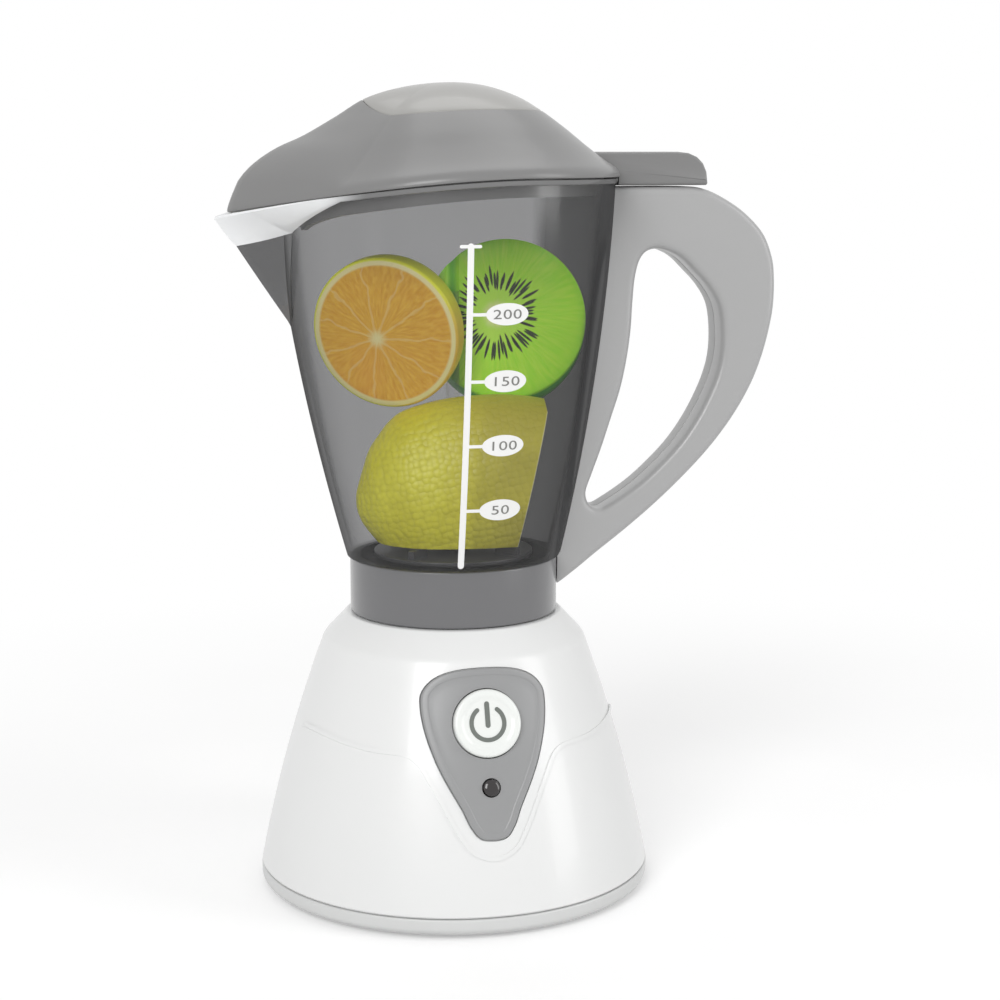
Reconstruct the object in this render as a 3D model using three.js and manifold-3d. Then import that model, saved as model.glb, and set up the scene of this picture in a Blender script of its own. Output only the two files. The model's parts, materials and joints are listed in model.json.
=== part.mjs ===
// Toy kitchen blender with a lift-off jug, a lift-off lid, a geared motor and spinning fruit.
// Millimetres, +Z up, front panel towards -Y, spout towards -X, handle towards +X.
import * as THREE from 'three';
import { mergeVertices } from 'three/addons/utils/BufferGeometryUtils.js';
import Module from 'manifold-3d';

const wasm = await Module();
wasm.setup();

// Clearances and wall thicknesses
const GAP = 0.3; // between pieces that touch
const CUT = 1; // overrun of a cut past a face
const WALL = 2.2; // base housing
const JUG_WALL = 1.8;
const LID_WALL = 2.2;

// Facets, and points along an outline
const ROUND = 36;
const BOSS = 12;
const SMALL = 8;
const FINE = 6; // steps up the base shell
const COARSE = 3;
const WIRE_SIDES = 5;
const HANDLE_POINTS = 46;
const FINGER_GAP_POINTS = 28;
const PANEL_POINTS = 30;

// Overall reach from the jug's axis
const SPOUT_REACH = 67.2;
const HANDLE_REACH = 95.2;
const LID_TOP_Z = 231.6;
const LID_RISE = 26.6; // the lid's top over the jug's rim

// Base shell
const FOOT_STAND = 1.2; // how far the feet hold the plate off the table
const FOOT_R = 5;
const FOOT_SINK = 1;
const FOOT_CIRCLE_R = 46;
const PLATE_T = 2.4;
const PLATE_CHAMFER = 1.5;
const BAND_H = 4.8;
const LIP_H = 3.5;
const LIP_T = 1.6;
const BASE_R = 57;
const BASE_BULGE = 1.5;
const SHOULDER_R = 38;
const SHOULDER_Z = 73.5;
const TOP_R = 31.2;
const TOP_Z = 80.7;
const SPIGOT_R = 27.2;
const SPIGOT_T = 2.4;
const SPIGOT_H = 5.8;
const KEY_OUT = 1.3;
const KEY_W = 5;
const KEY_COUNT = 3;

// Jug collar and jug
const COLLAR_R = 30;
const COLLAR_H = 16;
const COLLAR_CLEAR = 0.4;
const FLANGE_Z = 91;
const FLANGE_T = 2;
const FLANGE_HOLE_R = 20;
const JUG_FLOOR_T = 2.5;
const JUG_FLOOR_R = 25.4;
const JUG_FOOT_R = 30.8;
const JUG_RIM_R = 46.4;
const JUG_BULGE = 2.6;
const RIM_DROOP = 10.4; // how much lower the rim is at the spout's tip
const RIM_LEVEL_X = 14; // where the rim starts to fall towards the spout
const RIM_CURVE_SHARE = 1.8; // over 1 keeps the rim level longer
const RIM_BEAD = 0.7;
const RIM_BEAD_H = 1.5;
const SPOUT_DEPTH = 40.7; // from the rim down to where the spout starts
const SPOUT_SWELL = 3.6; // keel below the spout
const SPOUT_HALF_ANGLE = 38 * Math.PI / 180;
const SPOUT_POINT_SHARE = 1.5; // over 1 draws the spout to a point
const RIB_T = 2.4;
const RIB_OUT = 3.5;
const RIB_RISE = 25; // the rib's foot over the collar
const RIB_DROP = 15.7; // its top below the rim

// Handle
const HANDLE_T = 15;
const HANDLE_ROUND = 2.6;
const HANDLE_WALL = 2.3;
const HANDLE_DROP = 2.5; // the handle's top below the rim
const HANDLE_FOOT_Z = 87;
const HANDLE_SCREW_R = 1.2;
const HANDLE_HEAD_R = 2.4;
const HANDLE_HEAD_T = 1.6;

// Lid
const LID_EDGE_H = 2.2;
const LID_OVERHANG = 0.4;
const LID_BEAK_REACH = 64.2;
const BEAK_WIDTH_SHARE = 0.7; // under 1 makes the beak broad
const SKIRT_H = 5;
const SKIRT_T = 1.6;
const CROWN_R = 25.3;
const CROWN_T = 0.9;
const TAB_RISE = 7.3; // the tab's top over the rim
const TAB_REACH = 73.8;
const TAB_ROOT_X = 36;
const TAB_W = 15.4;
const TAB_ROUND = 8;
const TAB_EDGE = 1.2;

// Control panel, button and indicator
const BUTTON_Z = 57.4;
const BUTTON_R = 9.4;
const BUTTON_PROUD = 1.7;
const BUTTON_TRAVEL = 1.5;
const BUTTON_FLANGE = 1.5; // thickness of the rim that keeps the button in
const BUTTON_RIM = 1;
const STEM_R = 2.4;
const PANEL_W = 35;
const PANEL_H = 47;
const PANEL_RISE = 15; // top of the panel above the button's centre
const PANEL_PROUD = 0.7;
const PANEL_SINK = 0.7;
const LED_DROP = 17.6;
const LED_R = 2.35;
const LENS_PROUD = 0.5;
const BOARD_DEPTH = 13.5;
const BOARD_T = 1.4;
const BOARD_W = 26;
const BOARD_H = 31;
const BOARD_TOP = 8;
const SWITCH_W = 8;
const SWITCH_H = 6;
const BOARD_SCREW_X = 9.5;
const BOARD_SCREW_DROP = 10.5;

// Cells and their box
const CELL_R = 7.25;
const CELL_L = 50.5;
const CELL_NUB = 1.3;
const CELL_NUB_R = 2.7;
const CELL_PITCH = 15;
const CONTACT_ROOM = 4.2;
const CONTACT_T = 0.5;
const CONTACT_W = 8;
const SPRING_R = 3.4;
const SPRING_WIRE_R = 0.4;
const SPRING_TURNS = 2;
const SPRING_STEPS = 8; // for each turn
const BOX_WALL = 1.6;
const DOOR_T = 1.8;
const TONGUE_L = 10;
const TONGUE_W = 13;
const DOOR_SCREW_R = 1.4;
const DOOR_HEAD_R = 2.6;
const DOOR_HEAD_T = 1;
const DOOR_SCREW_L = 5;
const HOOK_W = 6;
const HOOK_REACH = 2.4;
const HOOK_T = 1.4;
const LEAD_R = 0.6;
const LEAD_BEND = 3;
const LEAD_STEPS = 11;
const LEAD_PITCH = 4.4; // between the leads on the board
const LEAD_DROP = 16; // the leads' row on the board, below the button

// Motor and gears
const TRAY_Z = 52;
const TRAY_T = 2.4;
const TRAY_R = 28.5;
const TRAY_PILLAR_R = 24.5;
const PILLAR_R = 3.2;
const MOTOR_R = 10;
const MOTOR_FLAT = 15.2;
const MOTOR_L = 25;
const MOTOR_SHAFT_R = 1;
const MOTOR_NOSE = 1.4;
const MOTOR_NOSE_R = 3;
const SOCKET_WALL = 1.6;
const SOCKET_H = 13;
const MODULE = 0.6;
const TIP_SHARE = 0.85; // tooth height over the pitch circle, in modules
const ROOT_SHARE = 1.2; // tooth depth below it
const PINION_TEETH = 10;
const WHEEL_TEETH = 36;
const SMALL_TEETH = 12;
const BACKLASH = 0.1;
const WHEEL_T = 3;
const PINION_T = 4.4;
const OUTPUT_T = 4;
const AXLE_R = 1;
const SHAFT_R = 2;
const BUSH_R = 4.6;
const BUSH_FLANGE_R = 7;
const BUSH_FLANGE_T = 1;
const DOG_R = 9.5;
const DOG_T = 1.7;
const DOG_H = 3;
const DOG_COUNT = 3;

// Rotor and fruit
const ROTOR_R = 23;
const ROTOR_T = 1.4;
const FIN_H = 2.4;
const FIN_T = 1.8;
const FIN_L = 8;
const FIN_COUNT = 4;
const HUB_R = 4.5;
const HUB_H = 8.6;
const STEM_ROD_R = 2;
const STEM_H = 77.2; // the stem's top over the jug's floor, as are the fruit's heights
const FRUIT_ROOM_H = 109.2; // the room over the floor that the fruit's sizes are for
const FRUIT_ROOM_R = 46.4; // and its rim
const FRUIT_TURN = -12 * Math.PI / 180; // the fruit faces a little to the spout's side
const ORANGE_R = 22;
const ORANGE_T = 10;
const ORANGE_X = -19.2;
const ORANGE_Y = -5.5;
const ORANGE_Z = 65.5;
const ORANGE_FACE_TURN = -20 * Math.PI / 180;
const ORANGE_TIP = 12 * Math.PI / 180;
const KIWI_R = 23;
const KIWI_T = 8;
const KIWI_X = 15.3;
const KIWI_Y = 1.2;
const KIWI_Z = 69.2;
const LEMON_R = 26.5;
const LEMON_L = 66;
const LEMON_NOSE_X = -27.7;
const LEMON_NOSE_Y = -3.2;
const LEMON_NOSE_Z = 14.7;
const LEMON_FLAT_SHARE = 0.66; // its depth against its height
const LEMON_TILT = 12 * Math.PI / 180;
const LEMON_FACE_X = 23.6;
const LEMON_FACE_LEAN = 12.5 * Math.PI / 180;

// Screws
const SCREW_R = 1.5;
const SCREW_HEAD_R = 3;
const SCREW_HEAD_T = 2;
const BASE_SCREW_L = 13;
const BASE_SCREW_CIRCLE_R = 43;
const BASE_BOSS_R = 4.6;
const TRAY_SCREW_L = 10;

// Heights that follow from the sizes above
const PLATE_Z = FOOT_STAND;
const PLATE_TOP = PLATE_Z + PLATE_T;
const BAND_TOP = PLATE_Z + BAND_H;
const HOUSING_Z = BAND_TOP + GAP;
const SPIGOT_TOP = TOP_Z + SPIGOT_H;
const COLLAR_Z = TOP_Z + GAP;
const COLLAR_TOP = COLLAR_Z + COLLAR_H;
const JUG_BOTTOM = FLANGE_Z + FLANGE_T + GAP;
const JUG_FLOOR_TOP = JUG_BOTTOM + JUG_FLOOR_T;
const JUG_STEP_Z = COLLAR_TOP + GAP;
const RIM_Z = LID_TOP_Z - LID_RISE;
const SPOUT_START_Z = RIM_Z - SPOUT_DEPTH;
const RIB_LOW_Z = COLLAR_TOP + RIB_RISE;
const RIB_HIGH_Z = RIM_Z - RIB_DROP;
const HANDLE_TOP_Z = RIM_Z - HANDLE_DROP;
const LID_EDGE_Z = RIM_Z + GAP;
const TAB_TOP_Z = RIM_Z + TAB_RISE;
const AXIS_X = (SPOUT_REACH - HANDLE_REACH) / 2; // the jug's axis, with the whole part centred on X = 0

// Solid helpers

function solid(geometry) {
  const bare = geometry.clone();
  bare.deleteAttribute('normal');
  bare.deleteAttribute('uv');
  const merged = mergeVertices(bare);
  const points = merged.attributes.position.array;
  const kept = [];
  let volume = 0;
  for (let i = 0; i < merged.index.count; i += 3) {
    const [a, b, c] = merged.index.array.slice(i, i + 3);
    if (a === b || b === c || c === a) continue;
    kept.push(a, b, c);
    const [p, q, r] = [a, b, c].map((k) => new THREE.Vector3().fromArray(points, 3 * k));
    volume += p.dot(q.cross(r));
  }
  if (volume < 0) {
    for (let i = 0; i < kept.length; i += 3) [kept[i + 1], kept[i + 2]] = [kept[i + 2], kept[i + 1]];
  }
  const mesh = new wasm.Mesh({
    numProp: 3,
    vertProperties: new Float32Array(points),
    triVerts: new Uint32Array(kept),
  });
  return new wasm.Manifold(mesh);
}

function surface(body) {
  const mesh = body.getMesh();
  const geometry = new THREE.BufferGeometry();
  geometry.setAttribute('position', new THREE.BufferAttribute(new Float32Array(mesh.vertProperties), 3));
  geometry.setIndex(new THREE.BufferAttribute(new Uint32Array(mesh.triVerts), 1));
  geometry.computeVertexNormals();
  return geometry;
}

const join = (...bodies) => bodies.reduce((whole, body) => whole.add(body));
const cut = (body, ...tools) => tools.reduce((rest, tool) => rest.subtract(tool), body);

// Upright round bar from z0 to z1
function barShape(r, z0, z1, x = 0, y = 0, steps = BOSS) {
  const geometry = new THREE.CylinderGeometry(r, r, z1 - z0, steps);
  return geometry.rotateX(Math.PI / 2).translate(x, y, (z0 + z1) / 2);
}
const bar = (...sizes) => solid(barShape(...sizes));

function tube(rOut, rIn, z0, z1, x = 0, y = 0, steps = BOSS) {
  return cut(bar(rOut, z0, z1, x, y, steps), bar(rIn, z0 - CUT, z1 + CUT, x, y, steps));
}

function blockShape(x0, x1, y0, y1, z0, z1) {
  const geometry = new THREE.BoxGeometry(x1 - x0, y1 - y0, z1 - z0);
  return geometry.translate((x0 + x1) / 2, (y0 + y1) / 2, (z0 + z1) / 2);
}
const block = (...sides) => solid(blockShape(...sides));

// Solid of revolution from [radius, height] points
function turned(points, steps = ROUND) {
  const profile = points.map(([r, z]) => new THREE.Vector2(r, z));
  return solid(new THREE.LatheGeometry(profile, steps).rotateX(Math.PI / 2));
}

// Closed skin over rings of points; the ends are capped, or the last ring joins the first
function ringSkin(rings, closed = false) {
  const count = rings[0].length;
  const positions = rings.flat().flatMap((p) => [p.x, p.y, p.z]);
  const index = [];
  const spans = closed ? rings.length : rings.length - 1;
  for (let k = 0; k < spans; k += 1) {
    const low = k * count;
    const high = ((k + 1) % rings.length) * count;
    for (let i = 0; i < count; i += 1) {
      const next = (i + 1) % count;
      index.push(low + i, low + next, high + next, low + i, high + next, high + i);
    }
  }
  if (!closed) {
    [[rings[0], 0, -1], [rings.at(-1), (rings.length - 1) * count, 1]].forEach(([ring, start, side]) => {
      const centre = ring.reduce((sum, p) => sum.add(p), new THREE.Vector3()).divideScalar(count);
      positions.push(centre.x, centre.y, centre.z);
      const tip = positions.length / 3 - 1;
      for (let i = 0; i < count; i += 1) {
        const next = (i + 1) % count;
        index.push(tip, start + (side > 0 ? i : next), start + (side > 0 ? next : i));
      }
    });
  }
  const geometry = new THREE.BufferGeometry();
  geometry.setAttribute('position', new THREE.BufferAttribute(new Float32Array(positions), 3));
  geometry.setIndex(index);
  return solid(geometry);
}

// Smooth closed outline through points, as a shape
function smoothOutline(points, samples) {
  const curve = new THREE.CatmullRomCurve3(points.map(([x, y]) => new THREE.Vector3(x, y, 0)), true);
  return curve.getPoints(samples).slice(0, -1).map((p) => new THREE.Vector2(p.x, p.y));
}

// Outline in X and Z, extruded along Y from y0 to y1, with an optional round on both ends
function slab(outline, y0, y1, round = 0, hole = null) {
  const shape = new THREE.Shape(outline);
  if (hole) shape.holes.push(new THREE.Path(hole));
  const geometry = new THREE.ExtrudeGeometry(shape, {
    depth: y1 - y0 - 2 * round,
    bevelEnabled: round > 0,
    bevelThickness: round,
    bevelSize: round,
    bevelOffset: -round,
    bevelSegments: 2,
  });
  return solid(geometry.rotateX(Math.PI / 2).translate(0, y1 - round, 0));
}

const arch = (share) => 4 * share * (1 - share); // 0 at both ends, 1 in the middle
const polar = (r, angle) => [r * Math.cos(angle), r * Math.sin(angle)];
const around = (count, first = 0) => Array.from({ length: count }, (_, i) => first + 2 * Math.PI * i / count);

// Round wire along a curve
function wire(curve, r, steps) {
  const section = new THREE.Shape(around(WIRE_SIDES).map((angle) => new THREE.Vector2(...polar(r, angle))));
  return solid(new THREE.ExtrudeGeometry(section, { steps, extrudePath: curve, bevelEnabled: false }));
}

function finish(colour, roughness, metalness = 0, opacity = 1) {
  const transparent = opacity < 1;
  return new THREE.MeshStandardMaterial({ color: colour, roughness, metalness, opacity, transparent });
}
const WHITE_PLASTIC = finish(0xf0f0ee, 0.4);
const BAND_PLASTIC = finish(0xe4e4e2, 0.45);
const GREY_PLASTIC = finish(0xa9a9a8, 0.45);
const LID_PLASTIC = finish(0x959595, 0.35);
const DARK_PLASTIC = finish(0x5c5c5c, 0.35);
const SMOKE = finish(0x6f7073, 0.1, 0, 0.4);
const CLEAR = finish(0xf4f6f6, 0.1, 0, 0.4);
const RUBBER = finish(0x3a3a3a, 0.8);
const STEEL = finish(0xb8b8b8, 0.3, 1);
const BRASS = finish(0xc9a45a, 0.35, 1);
const NYLON = finish(0xf3f1e8, 0.5);
const CELL_WRAP = finish(0x2f6f4a, 0.4);
const BOARD_GREEN = finish(0x2c6b3d, 0.5);
const LENS_BLACK = finish(0x120808, 0.1);
const ORANGE_PEEL = finish(0xe09a35, 0.5);
const KIWI_GREEN = finish(0x86c030, 0.5);
const LEMON_PEEL = finish(0xd8cf3c, 0.5);
const WIRE_RED = finish(0xb02020, 0.5);
const WIRE_BLACK = finish(0x202020, 0.5);

const part = new THREE.Group();
part.position.x = AXIS_X;

function place(name, body, material) {
  const mesh = new THREE.Mesh(surface(body), material);
  mesh.name = name;
  part.add(mesh);
}

function placeEach(name, bodies, material) {
  bodies.forEach((body, i) => place(`${name}_${i + 1}`, body, material));
}

// Base housing

const baseShare = (z) => THREE.MathUtils.clamp((z - BAND_TOP) / (SHOULDER_Z - BAND_TOP), 0, 1);
const baseRadius = (z) => THREE.MathUtils.lerp(BASE_R, SHOULDER_R, baseShare(z))
  + BASE_BULGE * arch(baseShare(z));

// The base's outer form, made larger or smaller by an offset
function baseForm(offset, lowZ, steps = FINE) {
  const side = Array.from({ length: steps + 1 }, (_, i) => {
    const z = THREE.MathUtils.lerp(BAND_TOP, SHOULDER_Z, i / steps);
    return [baseRadius(z) + offset, z];
  });
  const foot = baseRadius(BAND_TOP) + offset;
  return turned([[0, lowZ], [foot, lowZ], ...side, [TOP_R + offset, TOP_Z + offset], [0, TOP_Z + offset]]);
}

const panelTilt = Math.atan2(baseRadius(BUTTON_Z - CUT) - baseRadius(BUTTON_Z + CUT), 2 * CUT);
const toPanel = (geometry) => geometry.rotateX(Math.PI / 2 - panelTilt)
  .translate(0, -baseRadius(BUTTON_Z), BUTTON_Z);
const panelBar = (r, w0, w1, u = 0, v = 0, steps = BOSS) => solid(toPanel(barShape(r, w0, w1, u, v, steps)));
const panelBlock = (...sides) => solid(toPanel(blockShape(...sides)));

// Half of the shield's outline, as shares of its half width and its height from its lower tip
const PANEL_SHARES = [
  [0.17, 0.012], [0.34, 0.08], [0.47, 0.19], [0.66, 0.33], [0.82, 0.47], [0.95, 0.64], [1, 0.79],
  [0.96, 0.89], [0.74, 0.965], [0.34, 1],
];
function panelPrism(grow) {
  const half = PANEL_SHARES.map(([a, b]) => [a * PANEL_W / 2, PANEL_RISE - PANEL_H + b * PANEL_H]);
  const mirrored = half.map(([u, v]) => [-u, v]).reverse();
  const middle = (PANEL_RISE * 2 - PANEL_H) / 2;
  const widen = 1 + 2 * grow / PANEL_W;
  const outline = smoothOutline([...half, ...mirrored], PANEL_POINTS)
    .map((p) => new THREE.Vector2(p.x * widen, middle + (p.y - middle) * (1 + 2 * grow / PANEL_H)));
  const geometry = new THREE.ExtrudeGeometry(new THREE.Shape(outline), {
    depth: 2 * BOARD_DEPTH,
    bevelEnabled: false,
  });
  return solid(toPanel(geometry.translate(0, 0, -BOARD_DEPTH)));
}

const boardFloor = -BOARD_DEPTH - GAP;
const boardBack = boardFloor - BOARD_T - GAP;
const screwAngles = [1, 2, 4, 5].map((k) => k * Math.PI / 3);
const footAngles = [1, 5, 7, 11].map((k) => k * Math.PI / 6);
const pillarAngles = [215, 325, 135].map((k) => k * Math.PI / 180);
const compoundY = MODULE * (WHEEL_TEETH + SMALL_TEETH) / 2 + BACKLASH;
const motorX = MODULE * (WHEEL_TEETH + PINION_TEETH) / 2 + BACKLASH;
const wheelTipR = MODULE * (WHEEL_TEETH / 2 + TIP_SHARE);

const TRAY_TOP = TRAY_Z + TRAY_T;
const WHEEL_Z = TRAY_TOP + GAP + BUSH_FLANGE_T;
const SMALL_Z = WHEEL_Z + WHEEL_T;
const OUTPUT_Z = SMALL_Z + GAP;
const OUTPUT_TOP = OUTPUT_Z + OUTPUT_T;
const BOSS_COLUMN_Z = PLATE_TOP + BASE_BOSS_R;

function spigotKeys(grow) {
  const reach = SPIGOT_R + KEY_OUT + grow;
  const half = KEY_W / 2 + grow;
  const keys = around(KEY_COUNT, Math.PI / 2).map((angle) => solid(
    blockShape(0, reach, -half, half, TOP_Z - CUT, SPIGOT_TOP - CUT + grow).rotateZ(angle),
  ));
  return cut(join(...keys), bar(SPIGOT_R - SPIGOT_T / 2, 0, LID_TOP_Z, 0, 0, ROUND));
}

function baseHousing() {
  const shell = cut(
    cut(baseForm(0, HOUSING_Z), baseForm(-WALL, HOUSING_Z - CUT, COARSE)),
    block(-BASE_R, BASE_R, -BASE_R, BASE_R, PLATE_Z, HOUSING_Z),
  );
  const inside = baseForm(-WALL / 2, BOSS_COLUMN_Z + GAP, COARSE);
  const columns = screwAngles.map((angle) => {
    const [x, y] = polar(BASE_SCREW_CIRCLE_R, angle);
    return cut(
      bar(BASE_BOSS_R - WALL / 2, BOSS_COLUMN_Z + GAP, SHOULDER_Z, x, y).intersect(inside),
      bar(SCREW_R + GAP, BOSS_COLUMN_Z - CUT, PLATE_Z + BASE_SCREW_L + BASE_BOSS_R, x, y, SMALL),
    );
  });
  const pillars = pillarAngles.map((angle) => {
    const [x, y] = polar(TRAY_PILLAR_R, angle);
    return cut(
      bar(PILLAR_R, TRAY_TOP + GAP, TOP_Z - WALL / 2, x, y),
      bar(SCREW_R + GAP, TRAY_TOP - CUT, TRAY_TOP + TRAY_SCREW_L, x, y, SMALL),
    );
  });
  const axleSeat = cut(
    bar(PILLAR_R, OUTPUT_TOP + GAP, TOP_Z - WALL / 2, 0, compoundY),
    bar(AXLE_R + GAP, OUTPUT_TOP - CUT, OUTPUT_TOP + OUTPUT_T, 0, compoundY, SMALL),
  );
  const bushSeat = cut(
    bar(BUSH_R + GAP + WALL, OUTPUT_TOP + GAP + BUSH_FLANGE_T, TOP_Z, 0, 0, ROUND / 2),
    bar(BUSH_R + GAP, OUTPUT_TOP, SPIGOT_TOP, 0, 0, ROUND / 2),
  );
  const boardPosts = [-1, 1].map((side) => cut(
    panelBar(SCREW_R + GAP + WALL / 2, -BOARD_DEPTH, -WALL / 2, side * BOARD_SCREW_X, -BOARD_SCREW_DROP),
    panelBar(SCREW_R / 2 + GAP, -BOARD_DEPTH - CUT, -BOARD_DEPTH + SWITCH_H, side * BOARD_SCREW_X,
      -BOARD_SCREW_DROP, SMALL),
  ));
  const spigot = tube(SPIGOT_R, SPIGOT_R - SPIGOT_T, TOP_Z - CUT, SPIGOT_TOP, 0, 0, ROUND);
  const pocketSkin = cut(baseForm(CUT, HOUSING_Z, COARSE), baseForm(-PANEL_SINK - GAP, HOUSING_Z - CUT));
  const pocket = panelPrism(GAP).intersect(pocketSkin);
  const whole = join(shell, ...columns, ...pillars, axleSeat, bushSeat, ...boardPosts, spigot, spigotKeys(0));
  return cut(
    whole,
    pocket,
    bar(BUSH_R + GAP, OUTPUT_TOP, SPIGOT_TOP, 0, 0, ROUND / 2),
    panelBar(BUTTON_R + GAP, -BOARD_DEPTH / 2, BUTTON_PROUD + CUT, 0, 0, ROUND / 2),
    panelBar(LED_R + GAP, -BOARD_DEPTH / 2, BUTTON_PROUD, 0, -LED_DROP),
  );
}

place('base_housing', baseHousing(), WHITE_PLASTIC);

// Base plate with the cell box, feet and screws

const doorTop = PLATE_Z + DOOR_T;
const cellZ = doorTop + GAP + CELL_R;
const boxHalfX = CELL_L / 2 + CONTACT_ROOM;
const boxHalfY = CELL_PITCH / 2 + CELL_R + GAP;
const boxTop = cellZ + CELL_R + GAP;
const leadZ = cellZ + CONTACT_W / 4;
const hingeX = boxHalfX - HOOK_REACH;
const hingeZ = PLATE_Z + DOOR_T / 2;
const doorHalfY = boxHalfY - GAP;
const tongueX = boxHalfX + TONGUE_L;
const doorScrewX = boxHalfX + BOX_WALL + DOOR_HEAD_R + GAP;

function basePlate() {
  const foot = BASE_R - PLATE_CHAMFER;
  const lipLow = baseRadius(BAND_TOP) - WALL - GAP;
  const lipHigh = baseRadius(BAND_TOP + LIP_H) - WALL - GAP;
  const lipInner = lipHigh - LIP_T;
  const dish = turned([
    [0, PLATE_Z], [foot, PLATE_Z], [BASE_R, PLATE_Z + PLATE_CHAMFER], [BASE_R, BAND_TOP], [lipLow, BAND_TOP],
    [lipHigh, BAND_TOP + LIP_H], [lipInner, BAND_TOP + LIP_H], [lipInner, PLATE_TOP], [0, PLATE_TOP],
  ]);
  const box = block(-boxHalfX - BOX_WALL, boxHalfX + BOX_WALL, -boxHalfY - BOX_WALL, boxHalfY + BOX_WALL,
    PLATE_Z + DOOR_T, boxTop + BOX_WALL);
  const tonguePad = block(-tongueX - WALL, 0, -TONGUE_W / 2 - WALL, TONGUE_W / 2 + WALL,
    PLATE_Z + DOOR_T, PLATE_TOP + WALL);
  const doorBoss = bar(DOOR_HEAD_R + WALL, PLATE_TOP, cellZ + DOOR_HEAD_R, -doorScrewX);
  const bosses = screwAngles.map((angle) => bar(BASE_BOSS_R, PLATE_Z + DOOR_T, BOSS_COLUMN_Z,
    ...polar(BASE_SCREW_CIRCLE_R, angle)));
  const screwCuts = screwAngles.flatMap((angle) => {
    const [x, y] = polar(BASE_SCREW_CIRCLE_R, angle);
    return [
      bar(SCREW_R + GAP, 0, BOSS_COLUMN_Z + CUT, x, y, SMALL),
      bar(SCREW_HEAD_R + GAP, 0, PLATE_TOP + GAP, x, y),
    ];
  });
  const footCuts = footAngles.map((angle) => bar(FOOT_R + GAP, 0, PLATE_Z + FOOT_SINK + GAP,
    ...polar(FOOT_CIRCLE_R, angle)));
  const hollow = block(-boxHalfX, boxHalfX, -boxHalfY, boxHalfY, PLATE_TOP, boxTop);
  const opening = block(-boxHalfX - GAP, hingeX + DOOR_T / 2 + GAP, -boxHalfY, boxHalfY, 0, PLATE_TOP + CUT);
  const slotHalf = TONGUE_W / 2 + GAP;
  const tongueCut = block(-tongueX - GAP, -boxHalfX + CUT, -slotHalf, slotHalf, 0, doorTop + GAP);
  const doorBore = bar(DOOR_SCREW_R + GAP, 0, cellZ, -doorScrewX, 0, SMALL);
  const leadBores = [-1, 1].map((side) => solid(
    new THREE.CylinderGeometry(LEAD_R + GAP, LEAD_R + GAP, 2 * BOX_WALL + 2 * CUT, SMALL)
      .rotateZ(Math.PI / 2)
      .translate(boxHalfX + BOX_WALL, side * CELL_PITCH / 2, leadZ),
  ));
  return cut(join(dish, box, tonguePad, doorBoss, ...bosses), ...screwCuts, ...footCuts, hollow, opening,
    tongueCut, doorBore, ...leadBores);
}

place('base_plate', basePlate(), BAND_PLASTIC);

const feet = footAngles.map((angle) => bar(FOOT_R, 0, PLATE_Z + FOOT_SINK, ...polar(FOOT_CIRCLE_R, angle)));
placeEach('rubber_foot', feet, RUBBER);

function screw(x, y, headZ, length, r = SCREW_R, headR = SCREW_HEAD_R, headT = SCREW_HEAD_T) {
  const shank = bar(r, headZ + headT / 2, headZ + length, x, y, SMALL);
  const slot = block(x - headR / 2, x + headR / 2, y - r / 4, y + r / 4, headZ - CUT, headZ + headT / 3);
  return cut(join(bar(headR, headZ, headZ + headT, x, y), shank), slot);
}
const baseScrews = screwAngles.map((angle) => screw(...polar(BASE_SCREW_CIRCLE_R, angle),
  PLATE_TOP - SCREW_HEAD_T, BASE_SCREW_L));
placeEach('base_screw', baseScrews, STEEL);

// Cell door: rolled edge on the hinge side, hooks over the plate, tongue with its screw

function cellDoor() {
  const panel = block(-boxHalfX, hingeX, -doorHalfY, doorHalfY, PLATE_Z, doorTop);
  const edge = solid(new THREE.CylinderGeometry(DOOR_T / 2, DOOR_T / 2, 2 * doorHalfY, SMALL)
    .translate(hingeX, 0, hingeZ));
  const tongue = block(-tongueX, -boxHalfX + CUT, -TONGUE_W / 2, TONGUE_W / 2, PLATE_Z, doorTop);
  const hookZ = PLATE_TOP + GAP;
  const hookFoot = block(hingeX - HOOK_T, hingeX, -HOOK_W / 2, HOOK_W / 2, hingeZ, hookZ + HOOK_T);
  const hook = block(hingeX - HOOK_T, boxHalfX - GAP, -HOOK_W / 2, HOOK_W / 2, hookZ, hookZ + HOOK_T);
  return cut(
    join(panel, edge, tongue, hookFoot, hook),
    bar(DOOR_SCREW_R + GAP, 0, PLATE_TOP, -doorScrewX, 0, SMALL),
    bar(DOOR_HEAD_R + GAP, 0, PLATE_Z + DOOR_HEAD_T + GAP, -doorScrewX),
  );
}
place('battery_door', cellDoor(), BAND_PLASTIC);
const doorScrewZ = PLATE_Z + GAP / 2;
const doorScrew = screw(-doorScrewX, 0, doorScrewZ, DOOR_SCREW_L, DOOR_SCREW_R, DOOR_HEAD_R, DOOR_HEAD_T);
place('door_screw', doorScrew, STEEL);

// Two cells, nose to tail, with their contacts

function cell(y, side) {
  const body = new THREE.CylinderGeometry(CELL_R, CELL_R, CELL_L - CELL_NUB, BOSS + SMALL)
    .translate(0, -CELL_NUB / 2, 0);
  const nub = new THREE.CylinderGeometry(CELL_NUB_R, CELL_NUB_R, CELL_NUB * 2, SMALL)
    .translate(0, CELL_L / 2 - CELL_NUB, 0);
  const laid = [body, nub].map((piece) => piece.rotateZ(-side * Math.PI / 2).translate(0, y, cellZ));
  return join(...laid.map(solid));
}
place('battery_front', cell(-CELL_PITCH / 2, 1), CELL_WRAP);
place('battery_back', cell(CELL_PITCH / 2, -1), CELL_WRAP);

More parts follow.
